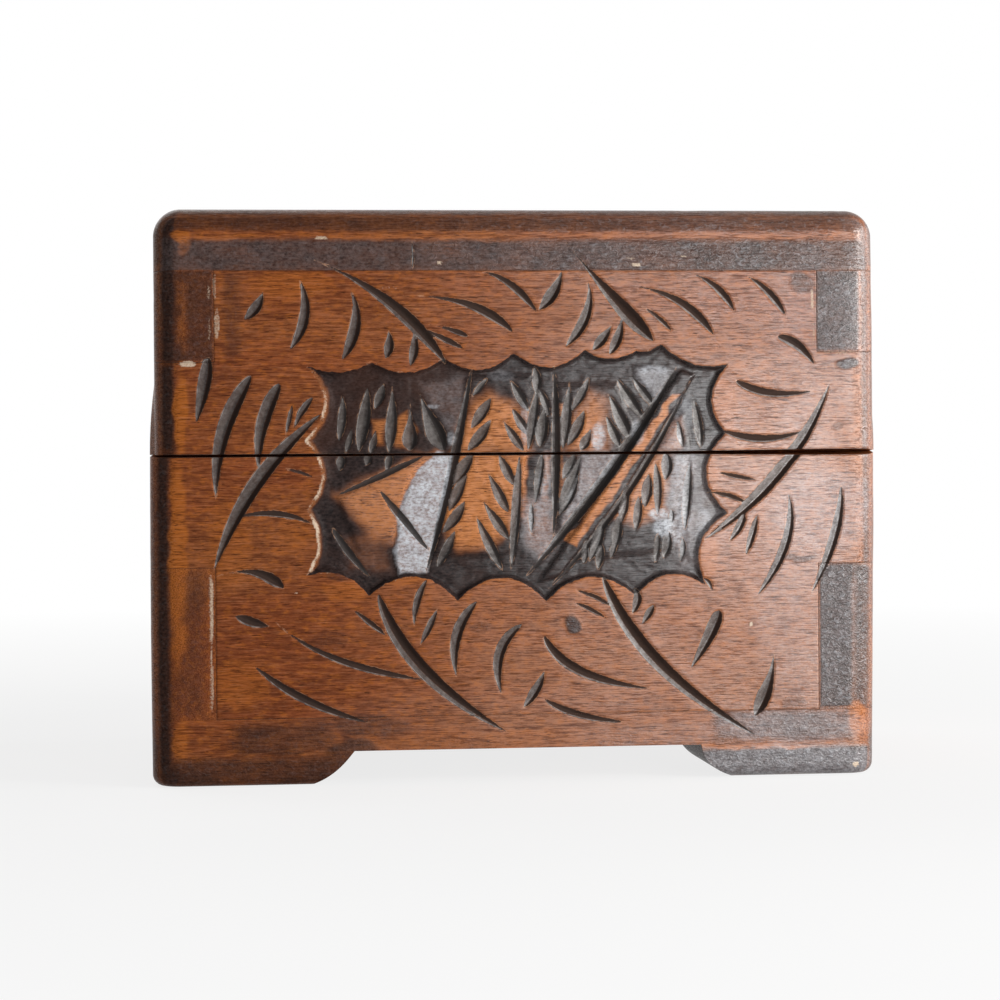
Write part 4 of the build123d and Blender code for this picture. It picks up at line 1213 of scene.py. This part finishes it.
def wood(name, grain, shift):
    """Varnished reddish-brown wood with its grain along one axis, stained and worn by the attributes, which
    also bring painted sheen, glints, highlights, light and shade.
    """
    material = bpy.data.materials.new(name)
    n = Nodes(material, "OutputMaterial")
    coordinates = n.place()

    def along(slow, fast):
        return n.stretched(coordinates, [slow if axis == grain else fast for axis in "xyz"], shift)

    def off_middle(source, size):
        return n.times(n.less(source, 0.5), size)

    broad = n.noise(along(14, 55), 1.0, 3.0)
    streaks = n.noise(along(60, 900), 1.0, 4.0, 0.62, 0.15)
    fibres = n.noise(along(230, 3300), 1.0, 3.0, 0.72)
    mottle = n.noise(along(480, 900), 1.0, 3.0, 0.65)
    pores = n.noise(along(360, 4600), 1.0, 3.0, 0.6)
    blotch = n.noise(along(110, 150), 1.0, 4.0, 0.6)
    grit = n.noise(coordinates, 2400.0, 2.0, 0.6)
    specks = n.noise(n.stretched(coordinates, (1300, 1300, 2100), shift), 1.0, 2.0, 0.55)
    wrinkles = n.noise(n.stretched(coordinates, (900, 900, 1300), shift), 1.0, 2.0, 0.6, 0.8)
    patchy = n.noise(coordinates, 620.0, 2.0, 0.6)
    nibbles = n.noise(coordinates, 850.0, 3.0, 0.65)
    stain_and_shade, worn_and_lit, warm, sheen, cut, slope, lacquer, field, polish, pale_and_lit = map(n.attribute, TONES)

    body = n.mix(n.ramp(broad, (0.38, 0.0), (0.62, 1.0)), BROWN, RED_BROWN)
    body = n.mix(n.ramp(streaks, (0.34, 0.62), (0.56, 0.0)), body, DARK_BROWN)
    # Paler where the meshes say so, on the front as painted light
    body = n.mix(n.times(pale_and_lit, 0.5), body, PALE_BROWN)
    body = n.mix(n.ramp(mottle, (0.50, 0.0), (0.66, 0.45)), body, ORANGE)
    body = n.mix(n.ramp(mottle, (0.34, 0.35), (0.48, 0.0)), body, DARK_BROWN)
    body = n.mix(n.times(warm, 0.8), body, ORANGE)
    ragged = n.add(off_middle(grit, 0.14), off_middle(nibbles, 0.40))
    in_field = n.ramp(n.add(field, ragged), (0.48, 0.0), (0.54, 1.0))
    bare = n.times(in_field, n.less(1.0, lacquer, clamp=True))
    body = n.mix(n.times(bare, 0.8), body, BARE)
    fibre = n.ramp(fibres, (0.36, 0.8), (0.52, 0.0))
    body = n.mix(fibre, body, DARK_BROWN)
    body = n.mix(n.ramp(fibres, (0.54, 0.0), (0.76, 0.55)), body, PALE_BROWN)
    pore = n.ramp(pores, (0.32, 0.9), (0.42, 0.0))
    body = n.mix(pore, body, PORE_BROWN)

    # Cuts: the lit side shows their stain with a painted highlight, the side past the valley painted shade
    in_cut = n.ramp(n.add(cut, ragged), (0.49, 0.0), (0.54, 1.0))
    past = n.ramp(n.add(slope, off_middle(grit, 0.16)), (0.46, 0.0), (0.55, 1.0))
    painted_shade = n.times(in_cut, past)
    beside = n.ramp(n.add(cut, ragged), (0.36, 0.0), (0.47, 1.0))
    burr = n.times(n.less(beside, in_cut, clamp=True), n.ramp(patchy, (0.46, 0.0), (0.62, 0.55)))
    painted_lit = n.less(in_cut, painted_shade)

    some_stain = n.times(stain_and_shade, 3.0, clamp=True)
    outer = n.ramp(n.add(stain_and_shade, off_middle(blotch, 0.7)), (0.08, 0.0), (0.85, 1.0))
    inner = n.ramp(n.add(lacquer, off_middle(blotch, 0.5)), (0.08, 0.0), (0.8, 1.0))
    flecks = n.ramp(specks, (0.3, 0.0), (0.75, 1.0))
    body = n.mix(n.times(outer, some_stain), body, n.mix(flecks, STAIN_DARK, STAIN_LIGHT))
    thick = n.ramp(n.add(lacquer, off_middle(blotch, 0.4)), (0.5, 0.0), (0.95, 1.0))
    dark = n.mix(thick, LACQUER_THIN, n.mix(flecks, LACQUER_DARK, LACQUER_LIGHT))
    body = n.mix(n.times(inner, in_field), body, dark)
    # Painted highlight on the lit side of cuts, brightest inside them and in a line near their edge
    core = n.times(n.ramp(cut, (0.54, 0.12), (0.76, 1.0)), n.ramp(patchy, (0.36, 0.45), (0.64, 1.0)))
    painted_glitter = n.times(n.ramp(specks, (0.30, 0.45), (0.70, 1.0)), core)
    painted_glitter = n.times(painted_glitter, n.add(0.28, n.times(polish, 0.55)))
    painted_edge_line = n.times(n.ramp(cut, (0.56, 0.0), (0.60, 1.0)), n.ramp(cut, (0.66, 1.0), (0.78, 0.0)))
    painted_edge_line = n.times(painted_edge_line, n.ramp(patchy, (0.36, 0.1), (0.58, 0.62)))
    painted_glitter = n.most(painted_glitter, painted_edge_line)
    body = n.mix(n.times(painted_lit, 0.94), body, n.mix(painted_glitter, STROKE_DARK, STROKE_PAINTED_HIGHLIGHT))
    # Painted sheen: a flecked grey painted reflection wherever the sheen tone is set
    painted_sheen_flecks = n.times(n.ramp(specks, (0.30, 0.35), (0.62, 1.0)), n.ramp(patchy, (0.36, 0.62), (0.58, 1.0)))
    body = n.mix(n.times(sheen, painted_sheen_flecks), body, PAINTED_SHEEN_GREY)
    body = n.mix(burr, body, BURR)
    # Painted glints on the stained parts, stronger where the lacquer shines
    painted_glints = n.times(n.ramp(wrinkles, (0.52, 0.0), (0.72, 0.30)), stain_and_shade)
    painted_glints = n.times(painted_glints, n.add(0.15, n.times(polish, 1.4), clamp=True))
    body = n.mix(painted_glints, body, PAINTED_SHEEN_GREY)
    # Painted shade on the shaded side of cuts, greyer in the field
    body = n.mix(n.times(painted_shade, 0.95), body, n.mix(in_field, SHADE_DARK, SHADE_GREY))

    # Wear, with the painted highlight on the field's rim
    worn_and_lit_frayed = n.add(worn_and_lit, off_middle(grit, 0.9))
    some_worn_and_lit = n.times(worn_and_lit, 4.0, clamp=True)
    body = n.mix(n.times(n.ramp(worn_and_lit_frayed, (0.35, 0.0), (0.8, 1.0)), some_worn_and_lit), body, SCUFF_AND_HIGHLIGHT)

    dull = n.most(painted_shade, n.times(n.most(pore, fibre), 0.85))
    gloss = n.times(n.add(0.02, n.times(polish, 0.9)), n.less(1.0, dull))
    rough = n.add(n.ramp(fibres, (0.3, 0.22), (0.7, 0.34)), n.times(worn_and_lit, 0.15))
    relief = n.add(n.times(pores, 0.35), n.times(fibres, 0.35))
    relief = n.add(relief, n.times(specks, n.add(0.08, n.times(stain_and_shade, 0.4))))
    relief = n.add(relief, n.times(wrinkles, n.add(0.12, n.times(stain_and_shade, 2.6))))
    n.finish(Base_Color=body, Specular_IOR_Level=gloss, Roughness=rough,
             Normal=n.bump(relief, 0.7, 0.00015))
    return material


def brass():
    """Aged brass, browner in patches."""
    material = bpy.data.materials.new("aged_brass")
    n = Nodes(material, "OutputMaterial")
    patches = n.noise(n.place(), 420.0, 4.0, 0.6)
    scratches = n.noise(n.stretched(n.place(), (300, 5000, 5000)), 1.0, 2.0)
    colour = n.mix(n.ramp(patches, (0.4, 0.0), (0.65, 1.0)), (0.60, 0.42, 0.17), (0.22, 0.14, 0.06))
    n.finish(Base_Color=colour, Metallic=1.0, Roughness=n.ramp(patches, (0.35, 0.3), (0.7, 0.55)),
             Normal=n.bump(scratches, 0.3, 0.00005))
    return material


def felt():
    """Short-pile felt with tangled fibres and a slight sheen."""
    material = bpy.data.materials.new("green_felt")
    n = Nodes(material, "OutputMaterial")
    fibres = n.noise(n.place(), 3000.0, 5.0, 0.7, 2.0)
    clumps = n.noise(n.place(), 260.0, 3.0, 0.6)
    colour = n.mix(n.ramp(fibres, (0.35, 0.0), (0.7, 1.0)), (0.020, 0.055, 0.035), (0.060, 0.135, 0.085))
    colour = n.mix(n.ramp(clumps, (0.4, 0.0), (0.7, 0.35)), colour, (0.085, 0.150, 0.095))
    n.finish(Base_Color=colour, Roughness=0.95, Sheen_Weight=0.35, Sheen_Roughness=0.5,
             Normal=n.bump(fibres, 0.8, 0.0002))
    return material


# Depths at which a wall's edges are gridded, closer near the outside and before the end of a joint
EDGE_LAYERS = np.array([0.0, EDGE_STEP, 0.5, 0.9, 1.4, 2.0, 2.7, 3.5, 4.5, 5.6, 6.8, 8.2, 9.8, 11.4,
                        12.5, 12.8, 13.1, WALL])

# Grid steps of the boards across and up
FRONT_PITCH = (0.36, 0.35)
BACK_PITCH = (0.6, 0.6)
SIDE_PITCH = (0.42, 0.42)
TOP_PITCH = (0.46, 0.62)
BOTTOM_PITCH = (0.46, 0.6)
FOOT_PITCH = (0.45, 0.45)


def through_layers(thick, first, count):
    """Depths through a whole board, with a fine step at both ends."""
    return np.concatenate([[0.0, EDGE_STEP], np.linspace(first, thick - EDGE_STEP, count), [thick]])


rng = np.random.default_rng(7)


def grained(name, grain):
    """Wood of its own for one board."""
    return wood(name + "_wood", grain, tuple(rng.uniform(-5, 5, 3)))


def long_outline(low, high, fingers, fingers_low, mirrored):
    """The outline of a front or back board with notches where the side boards' fingers pass."""
    left, right = (fingers["right"], fingers["left"]) if mirrored else (fingers["left"], fingers["right"])
    inner = SIDE - WALL
    if fingers_low:
        return [(-inner, low), (inner, low), (inner, low + right), (SIDE, low + right), (SIDE, high),
                (-SIDE, high), (-SIDE, low + left), (-inner, low + left)]
    return [(-SIDE, low), (SIDE, low), (SIDE, high - right), (inner, high - right), (inner, high),
            (-inner, high), (-inner, high - left), (-SIDE, high - left)]


def side_outline(low, high, finger, fingers_low):
    """The outline of a side board with one finger through each corner."""
    inner = FRONT - WALL
    if fingers_low:
        return [(-FRONT, low), (FRONT, low), (FRONT, low + finger), (inner, low + finger), (inner, high),
                (-inner, high), (-inner, low + finger), (-FRONT, low + finger)]
    return [(-inner, low), (inner, low), (inner, high - finger), (FRONT, high - finger), (FRONT, high),
            (-FRONT, high), (-FRONT, high - finger), (-inner, high - finger)]


def plane(origin, across, up, inwards):
    """A function that turns across, up and depth into places on the chest."""
    axes = np.array([across, up, inwards], float)
    return lambda uvw: np.array(origin) + uvw @ axes


front_place = plane((0, -FRONT, 0), (1, 0, 0), (0, 0, 1), (0, 1, 0))
back_place = plane((0, FRONT, 0), (-1, 0, 0), (0, 0, 1), (0, -1, 0))
right_place = plane((SIDE, 0, 0), (0, 1, 0), (0, 0, 1), (-1, 0, 0))
left_place = plane((-SIDE, 0, 0), (0, -1, 0), (0, 0, 1), (1, 0, 0))
top_place = plane((0, 0, HEIGHT), (1, 0, 0), (0, 1, 0), (0, 0, -1))
under_place = plane((0, 0, FLOOR_LOW), (1, 0, 0), (0, -1, 0), (0, 0, 1))


def rim_wear(moved):
    """The seam between lid and base, opened further by wear towards the right of the front."""
    result = moved.copy()
    ahead = smooth(-moved[:, 1], FRONT - 5.0, FRONT - 0.5)
    opening = 0.08 + 0.42 * smooth(moved[:, 0], 25.0, 74.0)
    below = (moved[:, 2] < SEAM) * smooth(moved[:, 2], BASE_RIM - 2.5, BASE_RIM)
    above = (moved[:, 2] > SEAM) * (1 - smooth(moved[:, 2], LID_RIM, LID_RIM + 2.5))
    result[:, 2] += ahead * opening * (0.7 * above - 1.0 * below)
    return result


def cutter(name, verts, faces):
    """A throwaway solid for a boolean cut, its corners in millimetres."""
    mesh = bpy.data.meshes.new(name)
    mesh.from_pydata((np.array(verts) * MM).tolist(), [], faces)
    mesh.update()
    turn_outwards(mesh)
    return add_object(name, mesh)


def box_cutter(name, low, high):
    """A box-shaped cutter between two corners."""
    verts = [(x, y, z) for x in (low[0], high[0]) for y in (low[1], high[1]) for z in (low[2], high[2])]
    faces = [(0, 1, 3, 2), (4, 6, 7, 5), (0, 4, 5, 1), (2, 3, 7, 6), (0, 2, 6, 4), (1, 5, 7, 3)]
    return cutter(name, verts, faces)


def rod_cutter(name, x_low, x_high, y, z, radius, sides=32):
    """A round cutter along x."""
    turns = [2 * math.pi * k / sides for k in range(sides)]
    ring = [(y + radius * math.cos(a), z + radius * math.sin(a)) for a in turns]
    verts = [(x, *place) for x in (x_low, x_high) for place in ring]
    faces = [list(range(sides))[::-1], list(range(sides, 2 * sides))]
    faces += [(k, (k + 1) % sides, sides + (k + 1) % sides, sides + k) for k in range(sides)]
    return cutter(name, verts, faces)


# The bevel that stops the open lid, the coves round the knuckles and the mortises for the leaves
BEVEL_REACH = 6.0
BEVEL_ANGLE = 51.0
COVE_RADIUS = 2.4
COVE_SPARE = 1.0
MORTISE_DEPTH = 1.02
MORTISE_SPARE = 0.1


def hinge_cutters(up):
    """The cutters for the bevel, the coves and the mortises of the lid's back, up 1, or the base's, -1."""
    axis_y, axis_z = (c / MM for c in frame["joints"][0]["pos_m"][1:])
    owner, rim = ("lid", LID_RIM) if up > 0 else ("base", BASE_RIM)
    drop = BEVEL_REACH * math.tan(math.radians(BEVEL_ANGLE)) * up
    reach = SIDE + 4
    wedge = [(x, axis_y + a, axis_z + b) for x in (-reach, reach)
             for a, b in ((0, 0), (BEVEL_REACH, 0), (BEVEL_REACH, drop))]
    faces = [(0, 1, 2), (3, 5, 4), (0, 3, 4, 1), (1, 4, 5, 2), (2, 5, 3, 0)]
    cutters = [cutter("bevel", wedge, faces)]
    for hand in ("left", "right"):
        low, high = node_box(f"{owner}_hinge_leaf_{hand}")
        cutters.append(rod_cutter("cove", low[0] - COVE_SPARE, high[0] + COVE_SPARE, axis_y, axis_z,
                                  COVE_RADIUS))
        z_low, z_high = sorted((rim + up * MORTISE_DEPTH, rim - up * 2.0))
        cutters.append(box_cutter("mortise", (low[0] - MORTISE_SPARE, low[1] - MORTISE_SPARE, z_low),
                                  (high[0] + MORTISE_SPARE, axis_y, z_high)))
    return cutters


def hinge_room(up):
    """A function that cuts the room for the hinges out of a back board."""
    def cut(piece):
        cutters = hinge_cutters(up)
        for tool in cutters:
            modifier = piece.modifiers.new(tool.name, "BOOLEAN")
            modifier.operation = "DIFFERENCE"
            modifier.solver = "EXACT"
            modifier.object = tool
        bpy.context.view_layer.update()
        evaluated = piece.evaluated_get(bpy.context.evaluated_depsgraph_get())
        result = bpy.data.meshes.new_from_object(evaluated)
        piece.modifiers.clear()
        piece.data = result
        for tool in cutters:
            bpy.data.objects.remove(tool)
    return cut


def make_walls():
    """The four walls of the lid and of the base."""
    walls = {"lid": (LID_RIM, LID_HIGH, LID_FINGERS, False),
             "base": (BASE_LOW, BASE_RIM, BASE_FINGERS, True)}
    for body, (low, high, fingers, fingers_low) in walls.items():
        name = f"{body}_front"
        make_board(name, long_outline(low, high, fingers, fingers_low, False), FRONT_PITCH, EDGE_LAYERS,
                   front_place, grained(name, "x"), body, warp=rim_wear)
        name = f"{body}_back"
        make_board(name, long_outline(low, high, fingers, fingers_low, True), BACK_PITCH, EDGE_LAYERS,
                   back_place, grained(name, "x"), body,
                   extra=hinge_room(1 if body == "lid" else -1))
        for hand, place in (("left", left_place), ("right", right_place)):
            name = f"{body}_{hand}"
            make_board(name, side_outline(low, high, fingers[hand], fingers_low), SIDE_PITCH, EDGE_LAYERS,
                       place, grained(name, "y"), body)


def make_flats():
    """The lid's top board and the base's bottom board."""
    outline = [(-SIDE, -FRONT), (SIDE, -FRONT), (SIDE, FRONT), (-SIDE, FRONT)]
    make_board("lid_top", outline, TOP_PITCH, through_layers(HEIGHT - LID_HIGH, 0.5, 32), top_place,
               grained("lid_top", "x"), "lid")
    make_board("bottom_board", outline, BOTTOM_PITCH, through_layers(BASE_LOW - FLOOR_LOW, 0.5, 17),
               under_place, grained("bottom_board", "x"), "base", outer="flat")


def foot_place(corner, length, slope, hollow):
    """A function that places a foot's points, its inner ends sloping in towards the floor."""
    def place(uvw):
        z = uvw[:, 2]
        drop = (1 - z / FLOOR_LOW)[:, None]
        shrink = 1 - slope * ((1 - hollow) * drop + hollow * drop ** 3.2) / length
        flat = corner + (np.stack([uvw[:, 0], -uvw[:, 1]], 1) - corner) * shrink
        return np.column_stack([flat, z])
    return place


def make_feet():
    """The four block feet; the slope is in millimetres, and hollow is the share of it that curves."""
    for end, facing in (("front", -1), ("back", 1)):
        for hand, side, slope, hollow in (("left", -1, 9.0, 0.35), ("right", 1, 7.2, 0.8)):
            name = f"foot_{end}_{hand}"
            low, high = node_box(name)
            outline = [(low[0], -high[1]), (high[0], -high[1]), (high[0], -low[1]), (low[0], -low[1])]
            corner = np.array([side * SIDE, facing * FRONT])
            make_board(name, outline, FOOT_PITCH, through_layers(FLOOR_LOW, 0.45, 17),
                       foot_place(corner, (high - low)[:2], slope, hollow), grained(name, "x"),
                       "base", outer="flat")


def make_felt():
    """The felt pad in the base, its surface and edges slightly uneven."""
    low, high = node_box("floor_felt")
    counts = (131, 79)
    us, vs = (np.linspace(low[k], high[k], counts[k]) for k in (0, 1))
    grid = np.stack(np.meshgrid(us, vs, indexing="ij"), -1).reshape(-1, 2)
    edge = np.minimum(grid - low[:2], high[:2] - grid).min(1)
    top = high[2] - 0.25 * (1 - smooth(edge, 0.0, 1.2)) - 0.12 * (0.5 + 0.5 * lattice_noise(grid, 7.0, 5))
    under = np.full(len(grid), low[2])
    verts = np.concatenate([np.column_stack([grid, top]), np.column_stack([grid, under])])
    index = np.arange(len(grid)).reshape(counts)
    quads = np.stack([index[:-1, :-1], index[1:, :-1], index[1:, 1:], index[:-1, 1:]], -1)
    quads = quads.reshape(-1, 4)
    rim = np.concatenate([index[:-1, 0], index[-1, :-1], index[1:, -1][::-1], index[0, 1:][::-1]])
    below = rim + len(grid)
    sides = np.stack([rim, below, np.roll(below, -1), np.roll(rim, -1)], 1)
    mesh = bpy.data.meshes.new("floor_felt")
    faces = quads.tolist() + (quads[:, ::-1] + len(grid)).tolist() + sides.tolist()
    mesh.from_pydata((verts * MM).tolist(), [], faces)
    mesh.update()
    mesh.shade_smooth()
    mesh.materials.append(felt())
    piece = add_object("felt_pad", mesh)
    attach(piece, "base")
    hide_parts("floor_felt")


def dress_hinges():
    """Brass for the hinge pieces, which keep their shapes."""
    material = brass()
    for name, piece in frame["nodes"].items():
        if "hinge" in name:
            piece.data.materials.clear()
            piece.data.materials.append(material)


# Where the photograph was taken from, and its framing
CAMERA_PLACE = (-0.07096, -0.64789, 0.07267)
CAMERA_YAW = -6.3355
CAMERA_PITCH = -0.3569
CAMERA_ROLL = -0.4145
CAMERA_LENS = 99.547
CAMERA_SHIFT = (0.0022, -0.0362)


def make_camera():
    """The camera at the photograph's viewing angle."""
    data = bpy.data.cameras.new("camera")
    data.lens = CAMERA_LENS
    data.sensor_width = 36.0
    data.sensor_fit = "HORIZONTAL"
    data.shift_x, data.shift_y = CAMERA_SHIFT
    data.clip_start = 0.01
    camera = add_object("camera", data)
    yaw, pitch, roll = (math.radians(a) for a in (CAMERA_YAW, CAMERA_PITCH, CAMERA_ROLL))
    turn = Euler((0, 0, yaw)).to_matrix() @ Euler((math.pi / 2 + pitch, 0, 0)).to_matrix()
    turn = turn @ Euler((0, 0, roll)).to_matrix()
    camera.matrix_world = turn.to_4x4()
    camera.location = CAMERA_PLACE
    bpy.context.scene.camera = camera


def area_light(name, place, target, width, height, power, colour):
    """A soft rectangular lamp aimed at a point."""
    data = bpy.data.lights.new(name, "AREA")
    data.shape = "RECTANGLE"
    data.size, data.size_y = width, height
    data.energy = power
    data.color = colour
    lamp = add_object(name, data)
    lamp.location = place
    lamp.rotation_euler = (Vector(target) - Vector(place)).to_track_quat("-Z", "Y").to_euler()


def seen(n):
    """1 for the rays that show the surround: from the camera, off gloss and through glass, else 0."""
    path = n.new("LightPath")
    direct = n.most(path.outputs["Is Camera Ray"], path.outputs["Is Glossy Ray"])
    return n.most(direct, path.outputs["Is Transmission Ray"])


def pale_floor():
    """Matt and light grey, and shown white further out."""
    material = bpy.data.materials.new("pale_floor")
    n = Nodes(material, "OutputMaterial")
    matt = n.new("BsdfDiffuse")
    matt.inputs[0].default_value = (0.8, 0.8, 0.8, 1)
    away = n.new("VectorMath")
    away.operation = "LENGTH"
    n.link(n.place(), away.inputs[0])
    white = n.ramp(away.outputs["Value"], (0.16, 0.80), (0.62, 1.0))
    mix = n.new("MixShader")
    n.link(n.times(seen(n), white), mix.inputs[0])
    n.link(matt.outputs[0], mix.inputs[1])
    n.link(n.new("Emission").outputs[0], mix.inputs[2])
    n.link(mix.outputs[0], n.output.inputs[0])
    return material


# Half width of the floor and how far it lies below the feet, in metres
FLOOR_REACH = 6.0
FLOOR_GAP = 0.00005


def make_floor():
    """The floor that the chest stands on."""
    mesh = bpy.data.meshes.new("floor")
    corners = [(x * FLOOR_REACH, y * FLOOR_REACH, 0) for x, y in ((-1, -1), (1, -1), (1, 1), (-1, 1))]
    mesh.from_pydata(corners, [], [(0, 1, 2, 3)])
    mesh.materials.append(pale_floor())
    floor = add_object("floor", mesh)
    floor.location.z = -FLOOR_GAP


def make_surround():
    """A world that is shown white and lights the chest a little."""
    world = bpy.data.worlds.new("studio")
    bpy.context.scene.world = world
    n = Nodes(world, "OutputWorld")
    background = n.new("Background")
    background.inputs[0].default_value = (1, 1, 1, 1)
    n.link(n.add(n.times(seen(n), 0.89), 0.11), background.inputs[1])
    n.link(background.outputs[0], n.output.inputs[0])


def make_lights():
    """Soft studio light, strongest from the right front as in the photograph."""
    target = (0, -0.03, 0.06)
    area_light("key", (0.56, -0.38, 0.22), target, 0.20, 0.20, 2.85, (1.0, 0.985, 0.96))
    area_light("sheen_light", (0.190, -0.66, 0.084), target, 0.11, 0.18, 1.2, (0.97, 0.985, 1.0))
    area_light("side_window", (0.72, -0.02, 0.22), (0, -0.02, 0.07), 0.42, 0.45, 3.6, (1.0, 1.0, 1.0))
    area_light("bounce", (0.24, -0.32, 0.03), (0, -0.05, 0.04), 0.10, 0.05, 0.30, (1.0, 0.98, 0.95))
    area_light("back_fill", (-0.5, 0.9, 0.9), target, 1.2, 1.2, 7.0, (1.0, 0.99, 0.98))


make_camera()
make_floor()
make_surround()
make_lights()
make_walls()
make_flats()
make_feet()
make_felt()
dress_hinges()

bpy.context.scene.view_settings.view_transform = "Standard"
